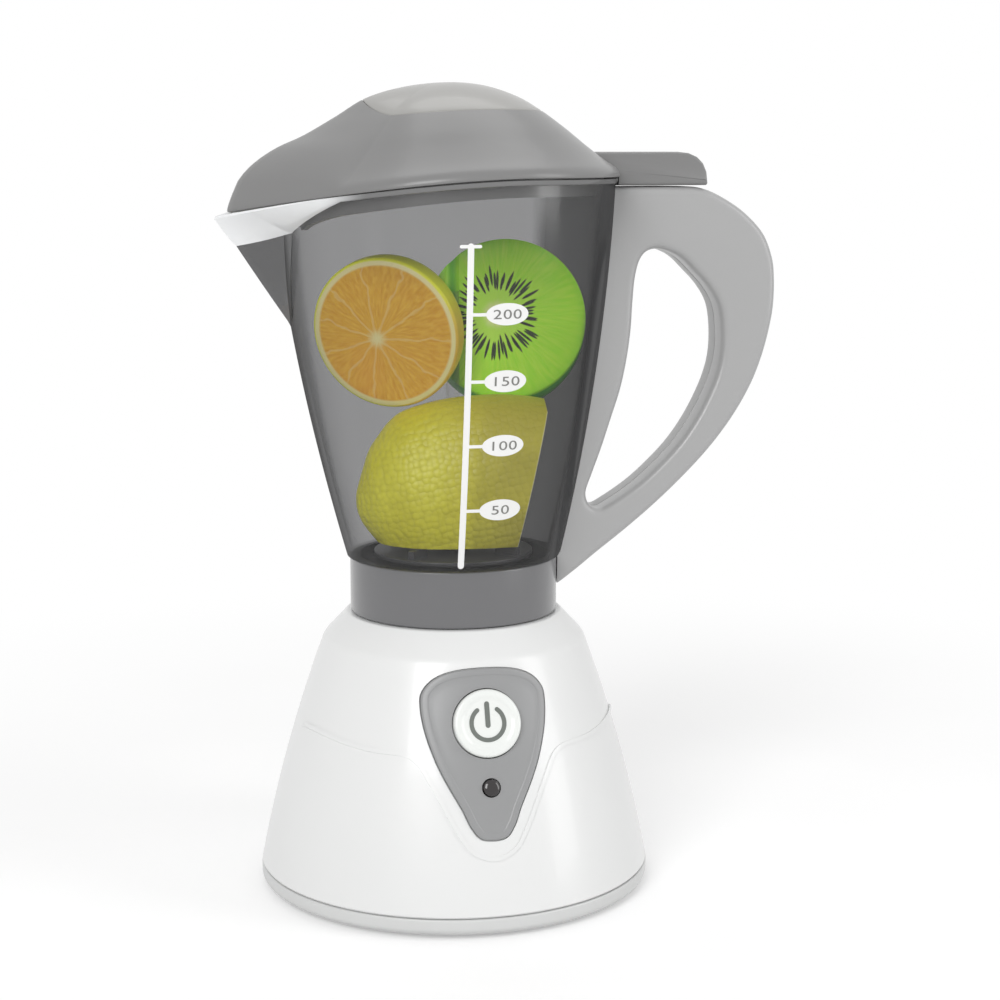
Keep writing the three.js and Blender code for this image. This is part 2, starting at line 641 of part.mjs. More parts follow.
const contactX = boxHalfX - GAP;
function contactPlate(side, y, width) {
  const [a, b] = [side * contactX, side * (contactX - CONTACT_T)].sort((p, q) => p - q);
  return block(a, b, y - width / 2, y + width / 2, cellZ - CONTACT_W / 2, cellZ + CONTACT_W / 2);
}
function contactBump(side, y) {
  const bump = new THREE.CylinderGeometry(CELL_NUB_R, CELL_NUB_R, CONTACT_ROOM - CONTACT_T - 2 * GAP, SMALL);
  const mid = side * (CELL_L / 2 + GAP + (CONTACT_ROOM - CONTACT_T - 2 * GAP) / 2 + GAP / 2);
  return solid(bump.rotateZ(Math.PI / 2).translate(mid, y, cellZ));
}
const bridge = join(contactPlate(-1, 0, CELL_PITCH + CONTACT_W), contactBump(-1, CELL_PITCH / 2));
place('bridge_contact', bridge, STEEL);
const terminalFront = join(contactPlate(1, -CELL_PITCH / 2, CONTACT_W), contactBump(1, -CELL_PITCH / 2));
place('terminal_front', terminalFront, STEEL);
place('terminal_back', contactPlate(1, CELL_PITCH / 2, CONTACT_W), STEEL);

class ConeCoil extends THREE.Curve {
  constructor(x0, x1, y) {
    super();
    this.ends = [x0, x1, y];
  }

  getPoint(t, target = new THREE.Vector3()) {
    const [x0, x1, y] = this.ends;
    const angle = 2 * Math.PI * SPRING_TURNS * t;
    const r = THREE.MathUtils.lerp(SPRING_R, SPRING_R / 2, t);
    return target.set(THREE.MathUtils.lerp(x0, x1, t), y + r * Math.cos(angle), cellZ + r * Math.sin(angle));
  }
}
function cellSpring(side, y) {
  const inset = GAP + SPRING_WIRE_R;
  const coil = new ConeCoil(side * (contactX - CONTACT_T - inset), side * (CELL_L / 2 + inset), y);
  return wire(coil, SPRING_WIRE_R, SPRING_STEPS * SPRING_TURNS);
}
place('spring_front', cellSpring(-1, -CELL_PITCH / 2), STEEL);
place('spring_back', cellSpring(1, CELL_PITCH / 2), STEEL);

// Gear tray with the motor's socket

function gearTray() {
  const plate = bar(TRAY_R, TRAY_Z, TRAY_TOP, 0, 0, ROUND / 2);
  const pillarTools = pillarAngles.map((angle) => bar(SCREW_R + GAP, TRAY_Z - CUT, TRAY_TOP + CUT,
    ...polar(TRAY_PILLAR_R, angle), SMALL));
  const socketR = MOTOR_R + GAP + SOCKET_WALL;
  const socket = tube(socketR, MOTOR_R + GAP, TRAY_Z - SOCKET_H, TRAY_Z, motorX, compoundY, ROUND / 2);
  const axleR = AXLE_R + GAP;
  const axleRing = tube(axleR + SOCKET_WALL, axleR, TRAY_TOP, TRAY_TOP + BUSH_FLANGE_T, 0, compoundY);
  const sleeveR = compoundY - wheelTipR - GAP;
  const shaftRing = join(
    tube(sleeveR, SHAFT_R + GAP, TRAY_Z - CUT, OUTPUT_Z - GAP),
    tube(SHAFT_R + GAP + SOCKET_WALL, SHAFT_R + GAP, TRAY_Z - WALL, TRAY_Z + CUT),
  );
  const halfRoom = BOARD_W / 2 + GAP;
  const boardLow = BOARD_TOP - BOARD_H - GAP;
  const boardRoom = panelBlock(-halfRoom, halfRoom, boardLow, BOARD_TOP + GAP, boardBack - CUT - GAP, 0);
  return cut(
    join(plate, bar(socketR, TRAY_Z, TRAY_TOP, motorX, compoundY, ROUND / 2), socket, axleRing, shaftRing),
    ...pillarTools,
    bar(axleR, TRAY_Z + GAP, TRAY_TOP + CUT, 0, compoundY),
    bar(SHAFT_R + GAP, TRAY_Z - WALL - CUT, OUTPUT_Z),
    bar(MOTOR_NOSE_R + GAP, TRAY_Z - CUT, TRAY_TOP + CUT, motorX, compoundY),
    boardRoom,
  );
}
place('gear_tray', gearTray(), NYLON);

const trayScrews = pillarAngles.map((angle) => screw(...polar(TRAY_PILLAR_R, angle),
  TRAY_Z - GAP - SCREW_HEAD_T, TRAY_SCREW_L + SCREW_HEAD_T));
placeEach('tray_screw', trayScrews, STEEL);

// Motor

const motorTop = TRAY_Z - GAP;
const motorBottom = motorTop - MOTOR_L;
const shaftLow = motorTop - MOTOR_L / 2;
const pinionZ = TRAY_TOP + GAP;
function motorCan() {
  const [flatLow, flatHigh] = [-1, 1].map((side) => compoundY + side * MOTOR_FLAT / 2);
  const flats = block(motorX - MOTOR_R, motorX + MOTOR_R, flatLow, flatHigh, 0, TOP_Z);
  const can = bar(MOTOR_R, motorBottom, motorTop, motorX, compoundY, ROUND / 2).intersect(flats);
  const nose = bar(MOTOR_NOSE_R, motorTop, motorTop + MOTOR_NOSE, motorX, compoundY);
  return cut(join(can, nose), bar(MOTOR_SHAFT_R + GAP, shaftLow - GAP, TOP_Z, motorX, compoundY, SMALL));
}
place('motor_can', motorCan(), STEEL);
const motorShaft = bar(MOTOR_SHAFT_R, shaftLow, pinionZ + PINION_T, motorX, compoundY, SMALL);
place('motor_shaft', motorShaft, STEEL);

// Gears

// Tooth points as shares: half angle in tooth pitches, and height in modules from the pitch circle
const TOOTH_SHARES = [[-0.3, -ROOT_SHARE], [-0.1, TIP_SHARE], [0.1, TIP_SHARE], [0.3, -ROOT_SHARE]];
function gear(teeth, boreR, z0, z1, x, y, phase) {
  const pitch = 2 * Math.PI / teeth;
  const pitchR = MODULE * teeth / 2;
  const tooth = (angle) => TOOTH_SHARES.map(([side, height]) => (
    new THREE.Vector2(...polar(pitchR + height * MODULE, angle + side * pitch))
  ));
  const outline = around(teeth, phase).flatMap(tooth);
  const shape = new THREE.Shape(outline);
  shape.holes.push(new THREE.Path(around(SMALL).map((angle) => new THREE.Vector2(...polar(boreR, angle)))));
  const geometry = new THREE.ExtrudeGeometry(shape, { depth: z1 - z0, bevelEnabled: false });
  return solid(geometry.translate(x, y, z0));
}
const halfTooth = (teeth) => Math.PI / teeth;

place('motor_pinion', gear(PINION_TEETH, MOTOR_SHAFT_R + GAP, pinionZ, pinionZ + PINION_T, motorX, compoundY,
  Math.PI + halfTooth(PINION_TEETH)), BRASS);

const compound = join(
  gear(WHEEL_TEETH, AXLE_R + GAP, WHEEL_Z, SMALL_Z, 0, compoundY, 0),
  gear(SMALL_TEETH, AXLE_R + GAP, SMALL_Z, OUTPUT_TOP, 0, compoundY, halfTooth(SMALL_TEETH) - Math.PI / 2),
);
place('compound_gear', compound, NYLON);
const compoundAxle = bar(AXLE_R, TRAY_Z + 2 * GAP, OUTPUT_TOP + OUTPUT_T - GAP, 0, compoundY, SMALL);
place('compound_axle', compoundAxle, STEEL);

place('output_gear', gear(WHEEL_TEETH, SHAFT_R + GAP, OUTPUT_Z, OUTPUT_TOP, 0, 0, Math.PI / 2), NYLON);

// Output shaft, its bush and the drive dogs

const bushTop = TOP_Z + GAP + BUSH_FLANGE_T;
const dogZ = bushTop + GAP;
const dogTop = dogZ + DOG_T + DOG_H;
place('output_shaft', bar(SHAFT_R, TRAY_Z - WALL, dogZ + DOG_T, 0, 0, SMALL), STEEL);
function flangedBush(z0, z1, flangeZ) {
  return cut(
    join(bar(BUSH_R, z0, z1), bar(BUSH_FLANGE_R, flangeZ, flangeZ + BUSH_FLANGE_T, 0, 0, ROUND / 2)),
    bar(SHAFT_R + GAP, z0 - CUT, z1 + CUT),
  );
}
place('output_bush', flangedBush(OUTPUT_TOP + 2 * GAP + BUSH_FLANGE_T, bushTop, TOP_Z + GAP), BRASS);

// Disc with dogs that stand on one side of it
function dogs(discZ, dogLow, dogHigh, first) {
  const disc = bar(DOG_R, discZ, discZ + DOG_T, 0, 0, ROUND / 2);
  const teeth = around(DOG_COUNT, first).map((angle) => {
    const tooth = blockShape(DOG_R / 2, DOG_R - CUT, -DOG_R / 6, DOG_R / 6, dogLow, dogHigh);
    return solid(tooth.rotateZ(angle));
  });
  return cut(join(disc, ...teeth), bar(SHAFT_R + GAP, discZ - CUT, discZ + DOG_T + CUT));
}
const drivenZ = dogTop + GAP;
const driveDog = dogs(dogZ, dogZ + DOG_T / 2, dogTop, 0);
const drivenDog = dogs(drivenZ, dogZ + DOG_T + GAP, drivenZ + DOG_T / 2, Math.PI / DOG_COUNT);
place('drive_dog', driveDog, DARK_PLASTIC);
place('driven_dog', drivenDog, DARK_PLASTIC);

// Control panel, button, indicator and circuit board

const panelSkin = cut(baseForm(PANEL_PROUD, HOUSING_Z), baseForm(-PANEL_SINK, HOUSING_Z - CUT));
const panel = cut(
  panelPrism(0).intersect(panelSkin),
  panelBar(BUTTON_R + GAP, -BOARD_DEPTH, BOARD_DEPTH, 0, 0, ROUND / 2),
  panelBar(LED_R + GAP, -BOARD_DEPTH, BOARD_DEPTH, 0, -LED_DROP),
);
place('control_panel', panel, GREY_PLASTIC);

const flangeFront = -WALL - GAP - (BUTTON_R ** 2) / baseRadius(BUTTON_Z);
const flangeBack = flangeFront - BUTTON_FLANGE;
const switchFront = -BOARD_DEPTH + SWITCH_H;
const buttonFace = panelBar(BUTTON_R, flangeBack, BUTTON_PROUD, 0, 0, ROUND / 2);
const button = join(
  buttonFace,
  panelBar(BUTTON_R + BUTTON_RIM, flangeBack, flangeFront, 0, 0, ROUND / 2),
  panelBar(STEM_R, boardFloor + 2 * GAP + BUTTON_TRAVEL, flangeBack + BUTTON_FLANGE / 2),
);
place('power_button', button, WHITE_PLASTIC);

const switchSide = SWITCH_W / 2;
const switchTop = flangeBack - BUTTON_TRAVEL - GAP;
const pushSwitch = cut(
  panelBlock(-switchSide, switchSide, -switchSide, switchSide, boardFloor + GAP, switchTop),
  panelBar(STEM_R + GAP, boardFloor + 2 * GAP, 0),
);
place('push_switch', pushSwitch, DARK_PLASTIC);

const board = cut(
  panelBlock(-BOARD_W / 2, BOARD_W / 2, BOARD_TOP - BOARD_H, BOARD_TOP, boardFloor - BOARD_T, boardFloor),
  ...[-1, 1].map((side) => panelBar(SCREW_R / 2 + GAP, boardFloor - BOARD_T - CUT, boardFloor + CUT,
    side * BOARD_SCREW_X, -BOARD_SCREW_DROP, SMALL)),
);
place('circuit_board', board, BOARD_GREEN);

const boardScrews = [-1, 1].map((side) => {
  const [u, v] = [side * BOARD_SCREW_X, -BOARD_SCREW_DROP];
  return join(
    panelBar(SCREW_R, boardBack - CUT, boardBack, u, v, SMALL),
    panelBar(SCREW_R / 2, boardBack - CUT / 2, switchFront - GAP * 2, u, v, SMALL),
  );
});
placeEach('board_screw', boardScrews, STEEL);

place('indicator_lens', panelBar(LED_R, -WALL, PANEL_PROUD + LENS_PROUD, 0, -LED_DROP), LENS_BLACK);
const led = join(
  panelBar(LED_R, boardFloor + GAP, -WALL - GAP, 0, -LED_DROP),
  panelBar(LED_R + GAP, boardFloor + GAP, boardFloor + GAP + CUT, 0, -LED_DROP),
);
place('indicator_led', led, CLEAR);

// Leads from the cells and the motor to the back of the board

function lead(start, along, slot) {
  const onBoard = (w) => new THREE.Vector3(slot * LEAD_PITCH, -LEAD_DROP, w)
    .applyAxisAngle(new THREE.Vector3(1, 0, 0), Math.PI / 2 - panelTilt)
    .add(new THREE.Vector3(0, -baseRadius(BUTTON_Z), BUTTON_Z));
  const bends = along.map((step) => start.clone().add(new THREE.Vector3(...step)));
  const route = [start, ...bends, onBoard(boardBack - LEAD_BEND), onBoard(boardBack)];
  return wire(new THREE.CatmullRomCurve3(route), LEAD_R, LEAD_STEPS);
}
const cellLead = (y, slot) => lead(
  new THREE.Vector3(contactX + GAP, y, leadZ),
  [[BOX_WALL + LEAD_BEND, 0, 0], [BOX_WALL + 2 * LEAD_BEND, -LEAD_BEND, 2 * LEAD_BEND]],
  slot,
);
const motorLead = (side, slot) => lead(
  new THREE.Vector3(motorX + side * MOTOR_R / 2, compoundY, motorBottom - GAP),
  [[0, 0, -LEAD_BEND], [0, -MOTOR_R, -LEAD_BEND]],
  slot,
);
place('battery_lead_red', cellLead(-CELL_PITCH / 2, 2), WIRE_RED);
place('battery_lead_black', cellLead(CELL_PITCH / 2, 1), WIRE_BLACK);
place('motor_lead_red', motorLead(1, 0), WIRE_RED);
place('motor_lead_black', motorLead(-1, -1), WIRE_BLACK);

// Jug collar

function jugCollar() {
  const bore = SPIGOT_R + COLLAR_CLEAR;
  const ring = turned([
    [bore, COLLAR_Z], [COLLAR_R, COLLAR_Z], [COLLAR_R, COLLAR_TOP], [bore, COLLAR_TOP],
    [bore, FLANGE_Z + FLANGE_T], [FLANGE_HOLE_R, FLANGE_Z + FLANGE_T], [FLANGE_HOLE_R, FLANGE_Z],
    [bore, FLANGE_Z], [bore, COLLAR_Z],
  ]);
  return cut(ring, spigotKeys(GAP));
}
place('jug_collar', jugCollar(), DARK_PLASTIC);

// Jug

const bodyShare = (z) => THREE.MathUtils.clamp((z - COLLAR_TOP) / (RIM_Z - COLLAR_TOP), 0, 1);
const bodyRadius = (z) => THREE.MathUtils.lerp(JUG_FOOT_R, JUG_RIM_R, bodyShare(z))
  + JUG_BULGE * arch(bodyShare(z));
const tipZ = RIM_Z - RIM_DROOP;
const spoutOut = SPOUT_REACH - bodyRadius(tipZ) - SPOUT_SWELL - RIM_BEAD;
// 1 along the spout's keel, falling to 0 where the spout meets the round body
const spoutShare = (angle) => 1 - Math.min(Math.abs(Math.PI - angle) / SPOUT_HALF_ANGLE, 1);
function jugRadius(angle, z) {
  const swell = SPOUT_SWELL * THREE.MathUtils.clamp((z - COLLAR_TOP) / (SPOUT_START_Z - COLLAR_TOP), 0, 1);
  const flare = spoutOut * THREE.MathUtils.clamp((z - SPOUT_START_Z) / (tipZ - SPOUT_START_Z), 0, 1);
  return bodyRadius(z) + (swell + flare) * spoutShare(angle) ** SPOUT_POINT_SHARE;
}
function rimFall(x) {
  const share = Math.max(0, (RIM_LEVEL_X - x) / (RIM_LEVEL_X + SPOUT_REACH));
  return RIM_DROOP * share ** RIM_CURVE_SHARE;
}
const jugAngles = around(ROUND);
const rimZ = (angle) => RIM_Z - rimFall(jugRadius(angle, tipZ) * Math.cos(angle));
const ringPoint = (r, angle, z) => new THREE.Vector3(...polar(r, angle), z);

// Rings of the jug's side from zLow up to the rim, moved out by an offset
const SIDE_SHARES = [0, 0.3, 0.6, 0.7, 0.85, 1];
function sideRings(zLow, offset, drop = 0) {
  return SIDE_SHARES.map((share) => jugAngles.map((angle) => {
    const z = THREE.MathUtils.lerp(zLow, rimZ(angle) - drop, share);
    return ringPoint(jugRadius(angle, z) + offset, angle, z);
  }));
}
const levelRing = (r, z) => jugAngles.map((angle) => ringPoint(r, angle, z));

function jug() {
  const plugR = SPIGOT_R + COLLAR_CLEAR - GAP;
  const boreR = BUSH_R + GAP;
  const bead = [[RIM_BEAD, RIM_BEAD_H - RIM_BEAD / 2], [RIM_BEAD, 0], [-JUG_WALL, 0]].map(([out, drop]) => (
    jugAngles.map((angle) => ringPoint(jugRadius(angle, rimZ(angle) - drop) + out, angle, rimZ(angle) - drop))
  ));
  const shell = ringSkin([
    levelRing(boreR, JUG_BOTTOM),
    levelRing(plugR, JUG_BOTTOM),
    levelRing(plugR, JUG_STEP_Z),
    ...sideRings(JUG_STEP_Z, 0, RIM_BEAD_H),
    ...bead,
    ...sideRings(JUG_STEP_Z + JUG_WALL, -JUG_WALL, RIM_BEAD_H).reverse(),
    levelRing(JUG_FLOOR_R, JUG_FLOOR_TOP),
    levelRing(boreR, JUG_FLOOR_TOP),
  ], true);
  const ribEdge = (z, out) => new THREE.Vector2(bodyRadius(z) + out, z);
  const rib = slab([
    ribEdge(RIB_LOW_Z, -JUG_WALL / 2), ribEdge(RIB_LOW_Z, RIB_OUT),
    ribEdge(RIB_HIGH_Z, RIB_OUT), ribEdge(RIB_HIGH_Z, -JUG_WALL / 2),
  ], -RIB_T / 2, RIB_T / 2);
  const inside = ringSkin(sideRings(JUG_STEP_Z + JUG_WALL, -JUG_WALL / 2));
  return join(shell, cut(rib, inside));
}
place('jug', jug(), SMOKE);

// The rim's outer form, straight down from just above it to a depth
function rimForm(clear, depth) {
  const ring = (drop) => jugAngles.map((angle) => (
    ringPoint(jugRadius(angle, rimZ(angle)) + RIM_BEAD + clear, angle, rimZ(angle) - drop)
  ));
  return ringSkin([ring(depth), ring(-GAP)]);
}

// The jug's outer form, enlarged by a clearance, that cuts what wraps round it
function jugForm(clear) {
  return join(
    ringSkin([levelRing(JUG_FOOT_R + clear, COLLAR_TOP - CUT), ...sideRings(COLLAR_TOP, clear, RIM_BEAD_H)]),
    rimForm(clear, RIM_BEAD_H + GAP),
    bar(COLLAR_R + clear, COLLAR_Z - CUT, COLLAR_TOP, 0, 0, ROUND),
  );
}

// Handle in two halves, open inside, held by screws from the back

// Outer contour and finger gap as shares of the handle's reach from the jug's foot, and of its height
const HANDLE_OUTER_SHARES = [
  [-0.0362, 1], [0.26, 1], [0.5263, 1], [0.64, 0.996], [0.737, 0.975], [0.847, 0.936], [0.94, 0.883],
  [0.987, 0.822], [1, 0.766], [0.998, 0.701], [0.982, 0.645], [0.952, 0.58], [0.908, 0.514], [0.846, 0.449],
  [0.766, 0.384], [0.667, 0.319], [0.542, 0.25], [0.416, 0.188], [0.29, 0.132], [0.165, 0.08], [0.058, 0.034],
  [-0.03, 0.002], [-0.1, 0.002], [-0.1842, 0.1], [-0.1842, 0.9],
];
const HANDLE_GAP_SHARES = [
  [0.464, 0.844], [0.545, 0.825], [0.617, 0.788], [0.681, 0.75], [0.73, 0.704], [0.748, 0.648], [0.747, 0.582],
  [0.725, 0.526], [0.681, 0.467], [0.619, 0.405], [0.539, 0.345], [0.432, 0.286], [0.342, 0.245],
  [0.235, 0.207], [0.181, 0.194], [0.135, 0.205], [0.117, 0.236], [0.145, 0.283], [0.188, 0.347],
  [0.232, 0.421], [0.275, 0.495], [0.304, 0.569], [0.322, 0.643], [0.33, 0.717], [0.34, 0.776], [0.362, 0.82],
  [0.402, 0.842],
];
const HANDLE_SCREW_SHARES = [[0.6743, 0.88], [0.188, 0.149]];
const onHandle = ([a, b]) => [
  THREE.MathUtils.lerp(JUG_FOOT_R, HANDLE_REACH, a), THREE.MathUtils.lerp(HANDLE_FOOT_Z, HANDLE_TOP_Z, b),
];

// Outline moved outwards along its normals
function offsetOutline(outline, amount) {
  return outline.map((p, i) => {
    const ahead = outline[(i + 1) % outline.length];
    const behind = outline[(i + outline.length - 1) % outline.length];
    const along = ahead.clone().sub(behind).normalize();
    return new THREE.Vector2(p.x + along.y * amount, p.y - along.x * amount);
  });
}
const leftward = (outline) => (THREE.ShapeUtils.isClockWise(outline) ? outline.slice().reverse() : outline);

function handleWhole() {
  const outer = leftward(smoothOutline(HANDLE_OUTER_SHARES.map(onHandle), HANDLE_POINTS));
  const gap = leftward(smoothOutline(HANDLE_GAP_SHARES.map(onHandle), FINGER_GAP_POINTS));
  const body = slab(outer, -HANDLE_T / 2, HANDLE_T / 2, HANDLE_ROUND, gap);
  const hollowHalf = HANDLE_T / 2 - HANDLE_WALL;
  const hollow = cut(
    slab(offsetOutline(outer, -HANDLE_WALL), -hollowHalf, hollowHalf, 0, offsetOutline(gap, HANDLE_WALL)),
    jugForm(HANDLE_WALL),
    block(0, HANDLE_REACH, -HANDLE_T, HANDLE_T, 0, onHandle([0, HANDLE_SCREW_SHARES[1][1] / 2])[1]),
  );
  const post = (spot) => handleBar(HANDLE_HEAD_R, -hollowHalf, hollowHalf, spot, BOSS);
  const posts = HANDLE_SCREW_SHARES.map(post);
  const jugTool = jugForm(GAP);
  const ribClear = (z, out) => new THREE.Vector2(bodyRadius(z) + out, z);
  const ribTool = slab([
    ribClear(RIB_LOW_Z - GAP, -JUG_WALL), ribClear(RIB_LOW_Z - GAP, RIB_OUT + GAP),
    ribClear(RIB_HIGH_Z + GAP, RIB_OUT + GAP), ribClear(RIB_HIGH_Z + GAP, -JUG_WALL),
  ], -RIB_T / 2 - GAP, RIB_T / 2 + GAP);
  return cut(body, cut(hollow, ...posts), jugTool, ribTool);
}

const handleHead = HANDLE_T / 2 - HANDLE_HEAD_T;
const screwTip = HANDLE_WALL - HANDLE_T / 2;
const headSeatR = HANDLE_HEAD_R - HANDLE_HEAD_T / 4;

// Round bar along Y from y0 to y1, at a place on the handle
function handleBar(r, y0, y1, spot, steps) {
  const [x, z] = onHandle(spot);
  return solid(new THREE.CylinderGeometry(r, r, y1 - y0, steps).translate(x, (y0 + y1) / 2, z));
}
function handleHalves() {
  const whole = handleWhole();
  const far = HANDLE_REACH + CUT;
  const tools = HANDLE_SCREW_SHARES.flatMap((spot) => [
    handleBar(HANDLE_SCREW_R + GAP, screwTip, HANDLE_T / 2, spot, SMALL),
    handleBar(headSeatR + GAP, handleHead - GAP, HANDLE_T, spot, BOSS),
  ]);
  const bored = cut(whole, ...tools);
  return [
    bored.intersect(block(0, far, -HANDLE_T, -GAP / 2, 0, LID_TOP_Z)),
    bored.intersect(block(0, far, GAP / 2, HANDLE_T, 0, LID_TOP_Z)),
  ];
}
const [handleFront, handleBack] = handleHalves();
place('handle_front', handleFront, GREY_PLASTIC);
place('handle_back', handleBack, GREY_PLASTIC);

const handleScrews = HANDLE_SCREW_SHARES.map((spot) => join(
  handleBar(HANDLE_SCREW_R, screwTip + GAP, handleHead + GAP, spot, SMALL),
  handleBar(headSeatR, handleHead, handleHead + HANDLE_HEAD_T / 2, spot, BOSS),
));
placeEach('handle_screw', handleScrews, STEEL);

// Lid

const lidRoundR = JUG_RIM_R + RIM_BEAD + LID_OVERHANG;
const lidRadius = (angle) => (
  THREE.MathUtils.lerp(lidRoundR, LID_BEAK_REACH, spoutShare(angle) ** SPOUT_POINT_SHARE)
);
const lidEdgeZ = (angle) => LID_EDGE_Z - rimFall(lidRadius(angle) * Math.cos(angle));

// Lid height from edge to apex as shares, against the share of the edge's radius
const DOME_SHARES = [
  [0, 1], [0.2, 0.96], [0.38, 0.845], [0.52, 0.69], [0.66, 0.492], [0.78, 0.3], [0.88, 0.147], [0.95, 0.052],
  [1, 0],
];
const BEAK_SHARES = [
  [0, 1], [0.2, 0.965], [0.38, 0.87], [0.52, 0.713], [0.66, 0.563], [0.78, 0.462], [0.88, 0.338],
  [0.95, 0.195], [1, 0],
];
function lidSurface(angle, k, drop) {
  const beak = spoutShare(angle) ** BEAK_WIDTH_SHARE;
  const [share, dome] = DOME_SHARES[k];
  const rise = THREE.MathUtils.lerp(dome, BEAK_SHARES[k][1], beak);
  const low = lidEdgeZ(angle) + LID_EDGE_H;
  const r = share * (lidRadius(angle) - drop);
  return ringPoint(r, angle, low + (LID_TOP_Z - low) * rise - drop);
}
const lidRings = (drop, step = 1) => DOME_SHARES.map((_, k) => k).filter((k) => k > 0 && k % step === 0)
  .map((k) => jugAngles.map((angle) => lidSurface(angle, k, drop)));
const lidRing = (inset, z) => jugAngles.map((angle) => ringPoint(lidRadius(angle) - inset, angle, z(angle)));

function lidForm(drop) {
  const apex = jugAngles.map((angle) => ringPoint(GAP, angle, LID_TOP_Z - drop));
  return ringSkin([apex, ...lidRings(drop), lidRing(drop, (angle) => lidEdgeZ(angle) - drop)]);
}

function lidTab() {
  const low = HANDLE_TOP_Z + GAP;
  const arc = Array.from({ length: 5 }, (_, i) => {
    const [a, b] = polar(TAB_ROUND, i * Math.PI / 8);
    return new THREE.Vector2(TAB_REACH - TAB_ROUND + a, TAB_TOP_Z - TAB_ROUND + b);
  });
  const outline = [
    new THREE.Vector2(TAB_ROOT_X, low), new THREE.Vector2(TAB_REACH, low), ...arc,
    new THREE.Vector2(TAB_ROOT_X, TAB_TOP_Z),
  ];
  return slab(outline, -TAB_W / 2, TAB_W / 2, TAB_EDGE);
}

function lidShell() {
  const inner = ringSkin([
    jugAngles.map((angle) => ringPoint(GAP, angle, LID_TOP_Z - LID_WALL)),
    ...lidRings(LID_WALL, 2),
    lidRing(LID_WALL, (angle) => lidEdgeZ(angle) - LID_WALL - CUT),
  ]);
  const skirtLow = RIM_Z - RIM_DROOP - SKIRT_H;
  const skirtR = bodyRadius(skirtLow) - JUG_WALL - COLLAR_CLEAR;
  const skirtTube = tube(skirtR, skirtR - SKIRT_T, skirtLow, LID_TOP_Z, 0, 0, ROUND);
  const skirtEnd = ringSkin([
    levelRing(JUG_RIM_R, skirtLow - CUT),
    jugAngles.map((angle) => ringPoint(JUG_RIM_R, angle, lidEdgeZ(angle) - SKIRT_H)),
  ]);
  const skirtTop = ringSkin([
    jugAngles.map((angle) => ringPoint(JUG_RIM_R, angle, lidEdgeZ(angle) - SKIRT_H - CUT)),
    jugAngles.map((angle) => ringPoint(JUG_RIM_R, angle, lidEdgeZ(angle))),
  ]);
  const skirt = cut(skirtTube.intersect(join(skirtTop, lidForm(LID_WALL / 2))), skirtEnd);
  const shell = cut(join(lidForm(0), lidTab()), inner, rimForm(GAP, SKIRT_H));
  const crownCut = bar(CROWN_R + GAP, SHOULDER_Z, LID_TOP_Z + CUT, 0, 0, ROUND)
    .intersect(cut(bar(CROWN_R + CUT, RIM_Z, LID_TOP_Z + CUT, 0, 0, ROUND), lidForm(CROWN_T + GAP)));
  return cut(join(shell, skirt), crownCut);
}
place('lid', lidShell(), LID_PLASTIC);

const crown = bar(CROWN_R, RIM_Z, LID_TOP_Z + CUT, 0, 0, ROUND).intersect(cut(lidForm(0), lidForm(CROWN_T)));
place('lid_crown', crown, LID_PLASTIC);

// Rotor in the jug, with the stem that carries the fruit. The stem and the fruit lie as high as the jug is,
// and are as large as its room lets them be.

const roomHeightShare = (RIM_Z - JUG_FLOOR_TOP) / FRUIT_ROOM_H;
const fruitShare = Math.min(roomHeightShare, JUG_RIM_R / FRUIT_ROOM_R);
const overFloor = (height) => JUG_FLOOR_TOP + height * roomHeightShare;
const fruitAt = (x, y, z) => [x * fruitShare, y * fruitShare, overFloor(z)];
const stemTop = overFloor(STEM_H);
const stemR = STEM_ROD_R * fruitShare;

const bushLow = JUG_BOTTOM - GAP - BUSH_FLANGE_T;
const bushHigh = JUG_FLOOR_TOP + BUSH_FLANGE_T;
place('rotor_bush', flangedBush(bushLow, bushHigh, bushLow), NYLON);

const rotorZ = bushHigh + GAP;
const rotorTop = rotorZ + ROTOR_T;
const hubTop = rotorTop + HUB_H;
const shaftTop = rotorTop + FIN_H;
place('rotor_shaft', bar(SHAFT_R, drivenZ, shaftTop, 0, 0, SMALL), STEEL);

function rotor() {
  const disc = bar(ROTOR_R, rotorZ, rotorTop, 0, 0, ROUND / 2);
  const hub = bar(HUB_R, rotorZ, hubTop);
  const finTop = rotorTop + FIN_H;
  const fins = around(FIN_COUNT, Math.PI / 4).map((angle) => solid(
    blockShape(ROTOR_R - FIN_L, ROTOR_R - CUT, -FIN_T / 2, FIN_T / 2, rotorZ, finTop).rotateZ(angle),
  ));
  const bore = join(
    bar(SHAFT_R + GAP, rotorZ - CUT, shaftTop + GAP),
    bar(stemR + GAP, shaftTop, hubTop + CUT),
  );
  return cut(join(disc, hub, ...fins), bore);
}
place('rotor', rotor(), DARK_PLASTIC);
place('fruit_stem', bar(stemR, shaftTop + GAP, stemTop, 0, 0, SMALL), CLEAR);

// Fruit, threaded on the stem

const stemTool = bar(stemR + GAP, rotorZ, stemTop + GAP);

// Round slice whose axis lies along -Y, turned and tipped about its face centre, then turned with the fruit
function slice(r, thickness, at, turn, tip) {
  return new THREE.CylinderGeometry(r, r, thickness, ROUND / 2)
    .translate(0, thickness / 2, 0)
    .rotateX(tip)
    .rotateZ(turn)
    .translate(...at)
    .rotateZ(FRUIT_TURN);
}
const orangeSlice = (grow) => solid(slice(ORANGE_R * fruitShare + grow, ORANGE_T * fruitShare + grow,
  fruitAt(ORANGE_X, ORANGE_Y, ORANGE_Z), ORANGE_FACE_TURN, ORANGE_TIP));
place('orange_half', cut(orangeSlice(0), stemTool), ORANGE_PEEL);

